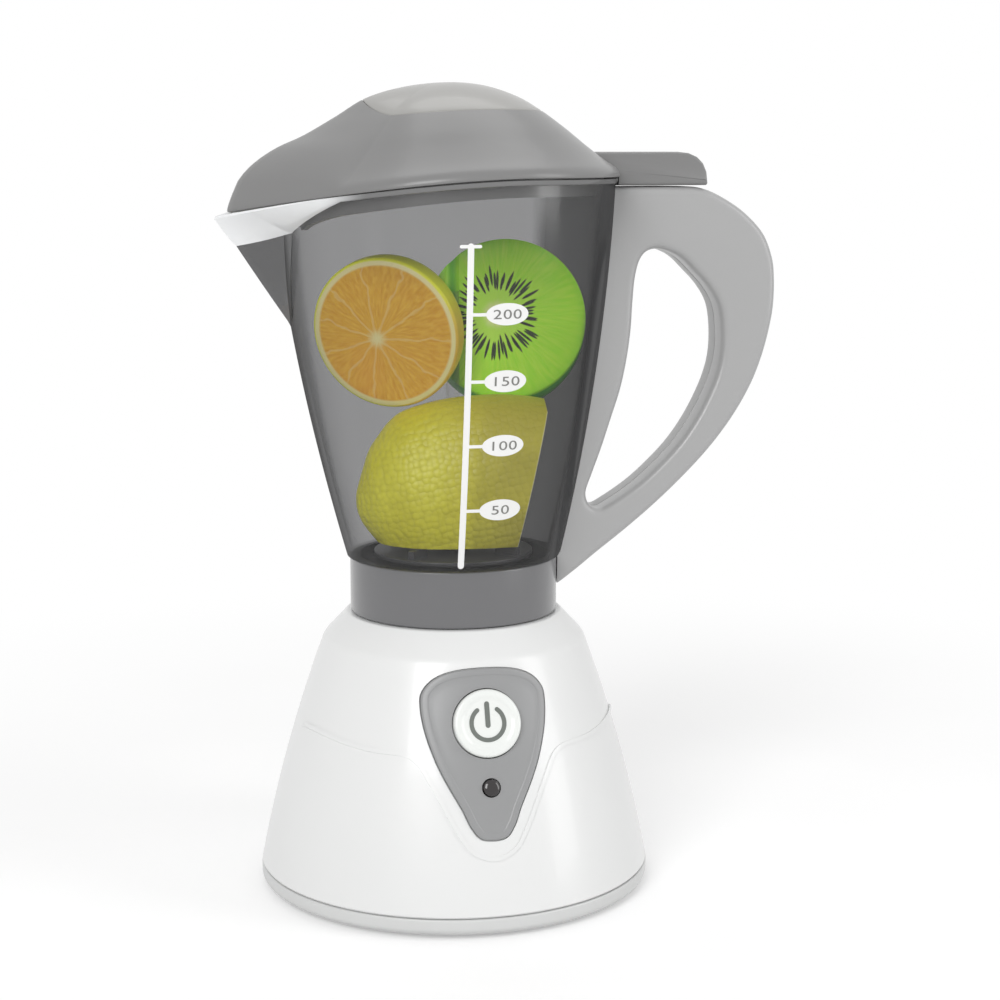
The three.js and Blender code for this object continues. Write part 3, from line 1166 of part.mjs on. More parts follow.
const kiwiAt = fruitAt(KIWI_X, KIWI_Y, KIWI_Z);
const kiwiSlice = (grow) => solid(slice(KIWI_R * fruitShare + grow, KIWI_T * fruitShare + grow, kiwiAt, 0, 0));
place('kiwi_slice', cut(kiwiSlice(0), stemTool, orangeSlice(GAP)), KIWI_GREEN);

// Half lemon: nose to the left, cut face to the right, flat below where it lies on the rotor's fins
const LEMON_SHARES = [
  [0, 0], [0.1, 0.005], [0.21, 0.018], [0.415, 0.06], [0.615, 0.106], [0.755, 0.16], [0.89, 0.223], [0.97, 0.3],
  [1, 0.45], [0.97, 0.6], [0.9, 0.75], [0.77, 0.9], [0, 0.9],
];
function lemon() {
  const [lemonR, lemonL] = [LEMON_R * fruitShare, LEMON_L * fruitShare];
  const nose = fruitAt(LEMON_NOSE_X, LEMON_NOSE_Y, LEMON_NOSE_Z);
  const profile = LEMON_SHARES.map(([r, s]) => new THREE.Vector2(r * lemonR, s * lemonL));
  const body = new THREE.LatheGeometry(profile, ROUND / 2)
    .rotateZ(-Math.PI / 2)
    .scale(1, LEMON_FLAT_SHARE, 1)
    .rotateY(-LEMON_TILT)
    .translate(...nose)
    .rotateZ(FRUIT_TURN);
  const beyond = blockShape(0, lemonL, -lemonL, lemonL, -lemonL, lemonL)
    .rotateY(LEMON_FACE_LEAN)
    .translate(LEMON_FACE_X * fruitShare, 0, nose[2] + lemonR / 2)
    .rotateZ(FRUIT_TURN);
  const below = bar(ROTOR_R + lemonL, 0, rotorTop + FIN_H + GAP);
  return cut(solid(body), solid(beyond), below, bar(HUB_R + GAP, 0, hubTop + GAP), stemTool, orangeSlice(GAP),
    kiwiSlice(GAP));
}
place('lemon_half', lemon(), LEMON_PEEL);

export default part;
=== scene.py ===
import json
import math

import bmesh
import bpy
import numpy as np
from mathutils import Matrix, Vector
from mathutils.geometry import tessellate_polygon


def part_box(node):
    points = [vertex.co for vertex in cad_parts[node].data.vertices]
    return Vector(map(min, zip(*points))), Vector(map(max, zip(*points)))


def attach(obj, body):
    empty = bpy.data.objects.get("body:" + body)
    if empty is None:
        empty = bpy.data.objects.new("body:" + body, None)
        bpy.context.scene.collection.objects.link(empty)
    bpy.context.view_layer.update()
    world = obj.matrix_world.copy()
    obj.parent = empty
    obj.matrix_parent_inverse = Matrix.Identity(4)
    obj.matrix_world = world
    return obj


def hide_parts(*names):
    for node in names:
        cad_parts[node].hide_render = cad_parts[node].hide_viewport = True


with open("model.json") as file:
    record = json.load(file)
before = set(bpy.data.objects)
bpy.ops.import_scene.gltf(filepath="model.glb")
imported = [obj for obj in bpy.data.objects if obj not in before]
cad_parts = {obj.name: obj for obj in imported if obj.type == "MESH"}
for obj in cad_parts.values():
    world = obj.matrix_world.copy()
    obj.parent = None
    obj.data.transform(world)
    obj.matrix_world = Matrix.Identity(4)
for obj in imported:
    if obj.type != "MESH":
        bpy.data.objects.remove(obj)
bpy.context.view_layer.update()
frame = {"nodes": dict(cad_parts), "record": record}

MM = 0.001
COLLAR_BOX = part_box("jug_collar")
AXIS_X = (COLLAR_BOX[0].x + COLLAR_BOX[1].x) / 2  # the jug's axis in the model's frame, in metres

# Points round a large turned piece and a small one, and in a rounded edge
ROUND = 192
SMALL_ROUND = 64
FILLET_STEPS = 5
TURN = 2 * math.pi

# Rounds of moulded edges, and how far a tool reaches into what it joins or cuts
FINE_EDGE = 0.3
SLIM_EDGE = 0.4
EDGE = 0.5
SOFT_EDGE = 0.8
BEND = 0.3  # an edge's middle point, as a share of its round
INTO = 0.5

GAP = 0.3
WHOLE = 240  # longer than anything that is cut

# Base
HOUSING_Z = 6.3
BAND_TOP = 6.0
PLATE_Z = 1.2
PLATE_TOP = 3.6
PLATE_CHAMFER = 1.5
BASE_R = 57
BASE_BULGE = 1.5
BASE_WALL = 2.2
SHOULDER_R = 38
SHOULDER_Z = 73.5
SHOULDER_ROUND = 1.4
TOP_R = 31.2
TOP_Z = 80.7
SPIGOT_R = 27.2
SPIGOT_WALL = 2.4
SPIGOT_TOP = 86.5
BUSH_HOLE_R = 4.9
KEY_OUT = 1.3
KEY_W = 5
KEY_COUNT = 3
HOUSING_ROWS = (44, 14)  # outside and inside
LIP_H = 3.5
LIP_T = 1.6
FOOT_R = 5
FOOT_CIRCLE_R = 46
FOOT_SINK = 1
FOOT_TWELFTHS = (1, 5, 7, 11)  # their turns, in twelfths of a full one
SCREW_CIRCLE_R = 43
SCREW_SIXTHS = (1, 2, 4, 5)
SCREW_HOLE_R = 1.8
SCREW_SEAT_R = 3.3
SCREW_BOSS_R = 4.6
SCREW_BOSS_TOP = 8.2

# Cell box in the base plate
CELL_BOX_X = 29.45
CELL_BOX_Y = 15.05
CELL_BOX_TOP = 18.1
CELL_BOX_WALL = 1.6
DOOR_T = 1.8
DOOR_OPEN_X = 28.25
TONGUE_X = 39.45
TONGUE_Y = 6.8
DOOR_SCREW_X = 33.95
DOOR_SCREW_HOLE_R = 1.7
DOOR_SCREW_HOLE_TOP = CELL_BOX_TOP * 0.55
DOOR_BOSS_TOP = CELL_BOX_TOP * 0.7

# Panel, button and indicator
BUTTON_Z = 57.4
BUTTON_R = 9.4
BUTTON_PROUD = 1.7
BUTTON_EDGE = 1.1
BUTTON_ROUND = 128
DISH_R = (6.2, 7.9)  # where the dish is level, and where it starts
DISH_DEPTH = 0.45
FLANGE_R = 10.4
FLANGE_W = (-5.9, -4.4)
STEM_R = 2.4
STEM_BACK = -11.5
PANEL_W = 35
PANEL_H = 47
PANEL_RISE = 15
PANEL_PROUD = 0.7
PANEL_SINK = 0.7
PANEL_EDGE = 0.55
PANEL_BORDER = 1.7
POCKET_LIFT = 3  # the panel's pocket is cut from this far over the base
PANEL_FIELD_SINK = 0.25
PANEL_STEP = [  # across the border's inner edge, and down to the field
    (0, 0), (0.12, 0.04), (0.32, PANEL_FIELD_SINK - 0.04), (0.45, PANEL_FIELD_SINK),
]
PANEL_SHARES = [
    (0.17, 0.012), (0.34, 0.08), (0.47, 0.19), (0.66, 0.33), (0.82, 0.47), (0.95, 0.64), (1, 0.79),
    (0.96, 0.89), (0.74, 0.965), (0.34, 1),
]
RIDGE_HALF = [  # half of the ridge round the panel's foot, over the panel's plane
    (0, -37), (6, -34.6), (10, -28.5), (13.6, -20.9), (16.6, -14.6), (19.2, -9.6), (22.8, -6.9), (30, -5.1),
    (36, -2.6), (41, 0.6), (45.5, 4.4),
]
RIDGE_W = 1.1
RIDGE_H = 0.4
LED_DROP = 17.6
LED_R = 2.35
LENS_PROUD = 1.2
LENS_EDGE = 0.35
SYMBOL_R = 4.6
SYMBOL_STROKE = 1.2
SYMBOL_OPEN = math.radians(37)  # half of the ring's opening
SYMBOL_BAR = (-0.6, 5.3)
SYMBOL_BAR_W = SYMBOL_STROKE * 1.15
SYMBOL_LIFT = (-0.1, 0.12)  # its underside and its top over the dish's floor

# Collar and jug
COLLAR_R = 30
COLLAR_BORE_R = 27.6
COLLAR_Z = 81
COLLAR_TOP = 97
FLANGE_Z = 91
FLANGE_TOP = 93
FLANGE_HOLE_R = 20
JUG_BOTTOM = 93.3
JUG_FLOOR_TOP = 95.8
JUG_FLOOR_R = 25.4
PLUG_R = 27.3
JUG_WALL = 1.8
JUG_STEP_Z = 97.3
JUG_FOOT_R = 30.8
JUG_RIM_R = 46.4
JUG_BULGE = 2.6
JUG_CORNER = (2.6, 1.6)  # the inner corner's width, and how it curves
RIM_Z = 205
RIM_DROOP = 10.4
RIM_LEVEL_X = 14
RIM_CURVE = 1.8
RIM_BEAD = 0.7
RIM_BEAD_H = 1.5
RIM_ROUND = 0.35
LIP_DEPTH = 6.8  # how much deeper the bead is at the spout's tip
LIP_DROPS = (0.9, 0.8, 0.66, 0.5, 0.34, 0.2, 0.1)  # its rings, as shares of its depth
LIP_FLARE = (0.5, 0.35)  # how it flares at the round rim, and how much more sharply at the tip
SPOUT_REACH = 67.2
SPOUT_START_Z = 164.3
SPOUT_SWELL = 3.6
SPOUT_HALF_ANGLE = math.radians(38)
SPOUT_POINT = 1.5
CREASE_ANGLE = math.radians(11)  # half angle of the folded spout at the rim
CREASE_CURVE = 1.3
CREASE_LEAST = math.radians(1.5)
CREASE_HALF_W = 0.5
CREASE_DEPTH = 0.45
CREASE_FADE = 8  # the height over which the crease grows deep
RIB_T = 2.4
RIB_OUT = 3.5
RIB_ROOT = 0.9
RIB_Z = (122, 189.3)

# Handle
HANDLE_T = 15
HANDLE_ROUND = 2.6
HANDLE_REACH = 95.2
HANDLE_TOP_Z = 202.5
HANDLE_FOOT_Z = 87
SEAM_ROUND = 0.35
HANDLE_SCREW_HOLE_R = 1.5
HANDLE_HEAD_R = 2.3
HANDLE_HEAD_Y = 5.6
HANDLE_OUTER_SHARES = [
    (-0.0362, 1), (0.26, 1), (0.5263, 1), (0.64, 0.996), (0.737, 0.975), (0.847, 0.936), (0.94, 0.883),
    (0.987, 0.822), (1, 0.766), (0.998, 0.701), (0.982, 0.645), (0.952, 0.58), (0.908, 0.514),
    (0.846, 0.449), (0.766, 0.384), (0.667, 0.319), (0.542, 0.25), (0.416, 0.188), (0.29, 0.132),
    (0.165, 0.08), (0.058, 0.034), (-0.03, 0.002), (-0.1, 0.002), (-0.1842, 0.1), (-0.1842, 0.9),
]
HANDLE_GAP_SHARES = [
    (0.464, 0.844), (0.545, 0.825), (0.617, 0.788), (0.681, 0.75), (0.73, 0.704), (0.748, 0.648),
    (0.747, 0.582), (0.725, 0.526), (0.681, 0.467), (0.619, 0.405), (0.539, 0.345), (0.432, 0.286),
    (0.342, 0.245), (0.235, 0.207), (0.181, 0.194), (0.135, 0.205), (0.117, 0.236), (0.145, 0.283),
    (0.188, 0.347), (0.232, 0.421), (0.275, 0.495), (0.304, 0.569), (0.322, 0.643), (0.33, 0.717),
    (0.34, 0.776), (0.362, 0.82), (0.402, 0.842),
]
HANDLE_SCREW_SHARES = [(0.6743, 0.88), (0.188, 0.149)]

# Lid
LID_TOP_Z = 231.6
LID_EDGE_Z = 205.3
LID_EDGE_H = 2.2
LID_EDGE_ROUND = 0.4
LID_WALL = 2.2
LID_ROUND_R = 47.5
LID_BEAK_REACH = 64.2
LID_ROWS = (40, 8, 24)  # on the dome, round its edge and inside
DOME_SHARE = 0.95  # the edge's round starts at this share of the reach
BEAK_WIDTH = 0.7
SKIRT_H = 5
SKIRT_T = 1.6
SKIRT_R = 43
CROWN_R = 25.3
CROWN_T = 0.9
CROWN_EDGE = 0.3
CROWN_ROWS = (16, 10)  # on its top and its back
TAB_Z = (202.8, 212.3)
TAB_X = (38, 47, 73.8)  # inside the dome, where it clears the rim, and its end
TAB_CLEAR_Z = 205.9
TAB_HALF_W = 7.7
TAB_ROUND = 9
TAB_EDGE = 1.6
TAB_END_ROUND = 0.6
TAB_SLOPE = 1.5  # how much its underside rises towards the dome
TAB_NARROWING = 1.4  # how much lower its edges get for their inset
DOME_SHARES = [
    (0, 1), (0.2, 0.96), (0.38, 0.845), (0.52, 0.69), (0.66, 0.492), (0.78, 0.3), (0.88, 0.147),
    (0.95, 0.052), (1, 0),
]
BEAK_SHARES = [
    (0, 1), (0.2, 0.965), (0.38, 0.87), (0.52, 0.713), (0.66, 0.563), (0.78, 0.462), (0.88, 0.338),
    (0.95, 0.195), (1, 0),
]

# Measuring scale on the jug's front
SCALE_X = -4.5
SCALE_Z = (98.6, 187.7)
SCALE_LINE_W = 1.7
SCALE_CAP_W = 5
SCALE_CAP_H = 0.9
SCALE_FOOT = 0.6  # how much higher the line starts, for its round end
SCALE_MARKS = {"50": 115.2, "100": 133.5, "150": 151.4, "200": 169.6}
MARK_X = 10.4  # from the line to the middle of a mark
MARK_W = 12
MARK_H = 6
TICK_H = 0.9
NUMERAL_H = 2.5
NUMERAL_STRETCH = 1.45
NUMERAL_SPACING = 1.08
FONT_HEIGHT = 0.69  # of a numeral, for a font size of 1
INK_LIFT = 0.05
INK_T = 0.06
INK_MORE = 0.01  # what crosses the line is a little thicker
NUMERAL_LIFT = INK_T * 1.6
OVAL_POINTS = 56
OVAL_RINGS = [(0, 0), (0.3, 0), (0.65, 0), (1, 0), (1, INK_T), (0.75, INK_T), (0.5, INK_T), (0.25, INK_T),
              (0, INK_T)]  # share of the mark's size, and height

# Rotor and fruit
ROTOR_Z = 97.1
ROTOR_R = 23
ROTOR_T = 1.4
ROTOR_ROUND = 128
FIN_H = 2.4
FIN_T = 1.8
FIN_L = 8
FIN_COUNT = 4
HUB_R = 4.5
HUB_TOP = 107.1
HUB_FOOT_ROUND = 0.6
STEM_HOLE_R = 2.3
FRUIT_TURN = math.radians(-12)
SLICE_ROUND = 128
ORANGE_R = 22
ORANGE_T = 10
ORANGE_AT = (-19.2, -5.5, 161.3)
ORANGE_TURN = math.radians(-20)
ORANGE_TIP = math.radians(12)
KIWI_R = 23
KIWI_T = 8
KIWI_AT = (15.3, 1.2, 165)
KIWI_SHEAR = 0.55  # how far its back lies below its face, for its depth
LEMON_R = 26
LEMON_L = 66
LEMON_NOSE = (-27.7, -3.2, 110.5)
LEMON_TILT = math.radians(12)
LEMON_FACE_X = 23.4
LEMON_FACE_LEAN = math.radians(12.5)
LEMON_FLAT = 0.65  # its depth against its height
LEMON_SHARES = [
    (0, 0), (0.1, 0.005), (0.21, 0.018), (0.415, 0.06), (0.615, 0.106), (0.755, 0.16), (0.89, 0.223),
    (0.97, 0.3), (1, 0.45), (0.97, 0.6), (0.9, 0.75), (0.77, 0.9),
]


# Mesh helpers


def skin(rings, closed=False):
    """Points and faces of a closed skin over rings of points. A ring of one point is a pole. The ends are
    capped, or the last ring joins the first."""
    points, starts, faces = [], [], []
    for ring in rings:
        starts.append(len(points))
        points.extend(ring)
    spans = [(k, k + 1) for k in range(len(rings) - 1)] + ([(len(rings) - 1, 0)] if closed else [])
    for a, b in spans:
        low, high, count = starts[a], starts[b], max(len(rings[a]), len(rings[b]))
        for i in range(count):
            j = (i + 1) % count
            if len(rings[a]) == 1:
                faces.append((low, high + j, high + i))
            elif len(rings[b]) == 1:
                faces.append((low + i, low + j, high))
            else:
                faces.append((low + i, low + j, high + j, high + i))
    if not closed:
        faces += [tuple(starts[k] + i for i in range(len(rings[k]))) for k in (0, -1) if len(rings[k]) > 1]
    return points, faces


def joined(*shapes):
    """Several (points, faces) as one."""
    points, faces = [], []
    for some_points, some_faces in shapes:
        faces += [tuple(i + len(points) for i in face) for face in some_faces]
        points += list(some_points)
    return points, faces


def placed(name, data):
    """A new object in the scene."""
    made = bpy.data.objects.new(name, data)
    bpy.context.scene.collection.objects.link(made)
    return made


def finished_mesh(made):
    """What an object with modifiers, or a text, looks like, as a mesh."""
    bpy.context.view_layer.update()
    return bpy.data.meshes.new_from_object(made.evaluated_get(bpy.context.evaluated_depsgraph_get()))


def piece(name, shape, place=None):
    """A mesh object from points in millimetres, its faces turned outwards, in the frame or at a place."""
    points, faces = shape
    mesh = bpy.data.meshes.new(name)
    mesh.from_pydata((np.array(points, float) * MM).tolist(), [], faces)
    work = bmesh.new()
    work.from_mesh(mesh)
    bmesh.ops.recalc_face_normals(work, faces=work.faces)
    work.to_mesh(mesh)
    work.free()
    to_axis = Matrix.Translation((AXIS_X, 0, 0))
    made = placed(name, mesh)
    if place is None:
        mesh.transform(to_axis)
    else:
        made.matrix_world = to_axis @ place
    return made


def carve(target, operation, *tools):
    """Joins a piece with tools or cuts it with them, which uses them up."""
    for tool in tools:
        step = target.modifiers.new("step", "BOOLEAN")
        step.operation = operation
        step.solver = "MANIFOLD"
        step.object = tool
    result = finished_mesh(target)
    target.modifiers.clear()
    target.data = result
    for tool in tools:
        bpy.data.objects.remove(tool)


def dress(made, body, slot, *nodes, look=None, sharp=32):
    """Smooths a piece up to its sharp edges (an angle in degrees), gives it the look named or its slot's,
    and says what it rides on and stands for."""
    mesh = made.data
    material = LOOKS[look or slot]
    mesh.polygons.foreach_set("use_smooth", [True] * len(mesh.polygons))
    mesh.set_sharp_from_angle(angle=math.radians(sharp))
    if mesh.materials:
        mesh.materials[0] = material
    else:
        mesh.materials.append(material)
    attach(made, body)
    if nodes:
        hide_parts(*nodes)


def fillet(corner, before, after, radius, steps=FILLET_STEPS):
    """Points of a round between two straight stretches that meet in a corner."""
    corner, before, after = (np.array(p, float) for p in (corner, before, after))
    start = corner + (before - corner) / np.linalg.norm(before - corner) * radius
    end = corner + (after - corner) / np.linalg.norm(after - corner) * radius
    shares = np.linspace(0, 1, steps + 1)[:, None]
    curve = (1 - shares) ** 2 * start + 2 * shares * (1 - shares) * corner + shares**2 * end
    return [tuple(p) for p in curve]


def rounded(corners):
    """A closed or open polyline from (a, b, radius) corners, with a round at each that has a radius."""
    points = [corner[:2] for corner in corners]
    out = []
    for i, (a, b, radius) in enumerate(corners):
        if radius:
            out += fillet((a, b), points[i - 1], points[(i + 1) % len(points)], radius)
        else:
            out.append((a, b))
    return out


def around(count, start=0.0):
    """Angles spread evenly over a full turn."""
    return start + np.arange(count) * TURN / count


def polar(r, angle):
    return r * math.cos(angle), r * math.sin(angle)


def turned(profile, steps=ROUND, closed=True, at=(0, 0)):
    """Solid of revolution about an upright axis from (radius, height) points; closed joins its ends."""
    rings = []
    for r, z in profile:
        spots = around(steps) if r else [0.0]
        rings.append([(at[0] + r * math.cos(a), at[1] + r * math.sin(a), z) for a in spots])
    return skin(rings, closed)


def rod(r, z0, z1, x=0.0, y=0.0, steps=SMALL_ROUND):
    return turned([(0, z0), (r, z0), (r, z1), (0, z1)], steps, False, (x, y))


def block(x0, x1, y0, y1, z0, z1):
    return skin([[(x0, y0, z), (x1, y0, z), (x1, y1, z), (x0, y1, z)] for z in (z0, z1)])


def spread(name, count, start, shape):
    """Pieces of one shape, spread evenly about the jug's axis."""
    pieces = []
    for angle in around(count, start):
        c, s = math.cos(angle), math.sin(angle)
        pieces.append(piece(name, mapped(shape, lambda x, y, z: (x * c - y * s, x * s + y * c, z))))
    return pieces


def mapped(shape, place):
    """A shape with each of its points moved by a function."""
    return [place(*p) for p in shape[0]], shape[1]


def smooth_curve(points, samples):
    """Points on a smooth curve from the second to the last but one point; the end ones guide it."""
    table = np.array(points, float)
    spans = len(table) - 3
    t = np.linspace(0, spans, samples + 1)
    k = np.minimum(t.astype(int), spans - 1)
    f = (t - k)[:, None]
    a, b, c, d = (table[k + i] for i in range(4))
    return 0.5 * (2 * b + (c - a) * f + (2 * a - 5 * b + 4 * c - d) * f**2 + (3 * b - a - 3 * c + d) * f**3)


def smooth_loop(points, samples):
    points = list(points)
    return smooth_curve([points[-1], *points, *points[:2]], samples)[:-1]


def grown(loop, amount):
    """A loop that runs anticlockwise, moved outwards along its normals."""
    along = np.roll(loop, -1, axis=0) - np.roll(loop, 1, axis=0)
    along /= np.linalg.norm(along, axis=1)[:, None]
    return loop + np.stack([along[:, 1], -along[:, 0]], axis=1) * amount


STROKE_END = (0.4, 0.75, 1.1, 1.45)  # turns of the points in a stroke's round end


def stroke(path, width, low, high, place):
    """A flat stroke with round ends along a path, as a shape; place maps its (u, v, w) points."""
    path, half = np.array(path, float), width / 2
    ahead = np.gradient(path, axis=0)
    ahead /= np.linalg.norm(ahead, axis=1)[:, None]
    start, end = (
        [(path[k] + sign * ahead[k] * half * math.sin(t), ahead[k], math.cos(t)) for t in STROKE_END]
        for k, sign in ((0, -1), (-1, 1))
    )
    rings = []
    for spot, d, share in [*start[::-1], *((p, d, 1) for p, d in zip(path, ahead)), *end]:
        side = np.array([-d[1], d[0]]) * half * share
        corners = [(spot + side, high), (spot - side, high), (spot - side, low), (spot + side, low)]
        rings.append([place(c[0], c[1], w) for c, w in corners])
    return skin(rings)


# Materials


class Signal:
    """A node's output that takes plain arithmetic with numbers and with other outputs."""

    def __init__(self, paint, socket):
        self.paint = paint
        self.socket = socket

    def __add__(self, other):
        return self.paint.math("ADD", self, other)

    def __sub__(self, other):
        return self.paint.math("SUBTRACT", self, other)

    def __rsub__(self, other):
        return self.paint.math("SUBTRACT", other, self)

    def __mul__(self, other):
        return self.paint.math("MULTIPLY", self, other)

    def __truediv__(self, other):
        return self.paint.math("DIVIDE", self, other)


LOOKS = {}  # the finished materials and the world, by name


class Paint:
    """A material or world with short calls for its nodes. An input is a number, a colour or a Signal."""

    def __init__(self, name, kind="Material"):
        owners = {"Material": bpy.data.materials, "World": bpy.data.worlds}
        self.name = name
        self.owner = owners[kind].new(name)
        self.owner.use_nodes = True
        self.nodes = self.owner.node_tree.nodes
        self.nodes.clear()
        self.output = self.nodes.new("ShaderNodeOutput" + kind)

    def feed(self, socket, value):
        if isinstance(value, Signal):
            self.owner.node_tree.links.new(value.socket, socket)
        elif isinstance(value, tuple) and socket.type == "RGBA":
            socket.default_value = (*value, 1)
        else:
            socket.default_value = value

    def node(self, kind, *inputs, out=0, **settings):
        made = self.nodes.new("ShaderNode" + kind)
        for key, value in settings.items():
            setattr(made, key, value)
        for key, value in inputs:
            self.feed(made.inputs[key], value)
        return Signal(self, made.outputs[out])

    def math(self, operation, *values, clamp=False):
        return self.node("Math", *enumerate(values), operation=operation, use_clamp=clamp)

    def mix(self, share, a, b):
        """Colour a where the share is 0, b where it is 1."""
        return self.node("Mix", (0, share), (6, a), (7, b), out=2, data_type="RGBA")

    def step(self, value, low, high, a=0.0, b=1.0):
        """a below low, b above high, smooth between."""
        return self.node("MapRange", (0, value), (1, low), (2, high), (3, a), (4, b),
                         interpolation_type="SMOOTHSTEP")

    def length(self, a, b):
        return self.math("SQRT", a * a + b * b)

    def place(self):
        return self.node("TexCoord", out="Object")

    def split(self, vector):
        return [self.node("SeparateXYZ", (0, vector), out=k) for k in range(3)]

    def noise(self, vector, scale, detail=2.0, rough=0.5, distortion=0.0):
        return self.node("TexNoise", ("Vector", vector), ("Scale", scale), ("Detail", detail),
                         ("Roughness", rough), ("Distortion", distortion))

    def bump(self, height, distance, strength):
        return self.node("Bump", ("Strength", strength), ("Distance", distance), ("Height", height))

    def facing(self, blend):
        return self.node("LayerWeight", ("Blend", blend), out="Facing")

    def principled(self, **inputs):
        named = [(key.replace("_", " "), value) for key, value in inputs.items()]
        return self.node("BsdfPrincipled", *named)

    def clear(self, tint=(1, 1, 1)):
        return self.node("BsdfTransparent", ("Color", tint))

    def blend(self, share, a, b):
        return self.node("MixShader", (0, share), (1, a), (2, b))

    def ray(self, kind):
        return self.node("LightPath", out="Is " + kind + " Ray")

    def lit_through(self, shader):
        """The shader, but the lamps' light reaches what lies behind it."""
        return self.blend(self.ray("Shadow"), shader, self.clear())

    def done(self, shader):
        self.feed(self.output.inputs["Surface"], shader)
        LOOKS[self.name] = self.owner
        return self.owner


# Cosines of the turn from the handle: above the first band the jug's wall is darker with painted shade from
# the handle, and so is the spout's folded wall below the second, with painted shade along the fold
HANDLE_SHADE_BAND = (0.68, 0.78)
FOLD_SHADE_BAND = (-0.985, -0.955)
FOLD_SHARE = 0.5  # of the painted shade on the handle's side
LIP_HIGHLIGHT_BAND = (-0.042, -0.03)  # painted highlight: from the spout's tip to here the rim's bead is painted near-white in place of a reflection
GRAIN_SCALE = 2600.0  # fine moulding grain, in waves per metre
CLOUD_SCALE = 45.0  # slow changes of shade


def moulded(name, colour, roughness, grain=0.000006, shade=0.03, coat=0.0, cloud=CLOUD_SCALE):
    """Moulded plastic: slow changes of shade and gloss, and a fine grain."""
    paint = Paint(name)
    spot = paint.place()
    darker, lighter = (tuple(min(c * share, 1) for c in colour) for share in (1 - shade, 1 + shade))
    tone = paint.mix(paint.step(paint.noise(spot, cloud, 3.0), 0.3, 0.7), darker, lighter)
    gloss = paint.step(paint.noise(spot, cloud * 4), 0.3, 0.7, roughness * 0.97, roughness * 1.03)
    grained = paint.bump(paint.noise(spot, GRAIN_SCALE), grain, 0.6)
    paint.done(paint.principled(Base_Color=tone, Roughness=gloss, Normal=grained, Coat_Weight=coat,
                                Coat_Roughness=0.08, IOR=1.5))


def metal(name, colour, roughness, brushed=(1.0, 1.0, 1.0)):
    """Metal with fine marks drawn out along one direction."""
    paint = Paint(name)
    spot = paint.node("VectorMath", (0, paint.place()), (1, brushed), operation="MULTIPLY")
    marks = paint.noise(spot, 1800.0, 3.0, 0.6)
    tone = paint.mix(paint.step(marks, 0.3, 0.75), tuple(c * 0.86 for c in colour), colour)
    gloss = paint.step(marks, 0.25, 0.75, roughness * 0.8, roughness * 1.25)
    scratched = paint.bump(marks, 0.000004, 0.5)
    paint.done(paint.principled(Base_Color=tone, Metallic=1.0, Roughness=gloss, Normal=scratched))


def smoky(name, tint, far_tint, body, limb, gloss=0.035, roughness=0.16, haze=0.03, handle_shade=0.0,
          lip=None):
    """Smoke-tinted clear plastic: what lies behind shows through, darker towards the limbs and through the
    far wall, with painted shade on the handle's side and along the spout's fold, a painted highlight on the
    lip near the spout's tip where a lip colour is given, and lamps reach what is inside."""
    paint = Paint(name)
    spot = paint.place()
    if far_tint != tint:
        tint = paint.mix(paint.node("NewGeometry", out="Backfacing"), tint, far_tint)
    waves = paint.bump(paint.noise(spot, 60.0, 1.0), 0.00008, 0.4)
    x, y, _ = paint.split(spot)
    x = x - AXIS_X
    # painted highlight: the lip colour makes the bead near-white towards the spout's tip
    tone = paint.mix(paint.step(x, *LIP_HIGHLIGHT_BAND), lip, body) if lip else body
    solid = paint.principled(Base_Color=tone, Roughness=0.25, Specular_IOR_Level=0.0, Normal=waves)
    facing = paint.facing(0.5)
    around_jug = x / paint.length(x, y)
    # painted shade: the wall turns darker on the handle's side, standing in for the handle's shadow
    handle_shading = paint.step(around_jug, *HANDLE_SHADE_BAND, 0.0, handle_shade)
    # painted shade along the spout's folded wall
    fold_shading = paint.step(around_jug, *FOLD_SHADE_BAND, handle_shade * FOLD_SHARE, 0.0)
    thickness_and_shade = paint.math("ADD", paint.math("POWER", facing, 4.0) * limb, handle_shading + fold_shading + haze, clamp=True)
    shine = paint.node("BsdfGlossy", ("Color", (1, 1, 1)), ("Roughness", roughness), ("Normal", waves))
    sheen = paint.math("POWER", facing, 5.0) * 0.12 + gloss
    paint.done(paint.lit_through(paint.blend(sheen, paint.blend(thickness_and_shade, paint.clear(tint), solid), shine)))


def clear_plastic(name, tint):
    """Clear colourless plastic, thin enough to bend no light."""
    paint = Paint(name)
    ripple = paint.bump(paint.noise(paint.place(), 300.0, 1.0), 0.00002, 0.5)
    shine = paint.node("BsdfGlossy", ("Roughness", 0.08), ("Normal", ripple))
    paint.done(paint.lit_through(paint.blend(paint.facing(0.4) * 0.18 + 0.04, paint.clear(tint), shine)))


def face_map(paint, middle):
    """Where a point lies in a slice: its x, depth and z, its distance from the slice's axis, its distance
    and turn from the middle of the face's pattern, and a call that stretches it along the pattern's rays."""
    x, y, z = paint.split(paint.place())
    off_x, off_z = x - middle[0] * MM, z - middle[1] * MM
    r, turn = paint.length(off_x, off_z), paint.math("ARCTAN2", off_z, off_x)

    def rays(turns, steps):
        return paint.node("CombineXYZ", (0, turn * turns), (1, r * steps))

    return x, y, z, paint.length(x, z), r, turn, rays


ORANGE_CELLS = 11
RIND_T = 1.0
PITH_T = 1.0
STAR_AT = (-2.5, -1.5)  # the star's place on the face


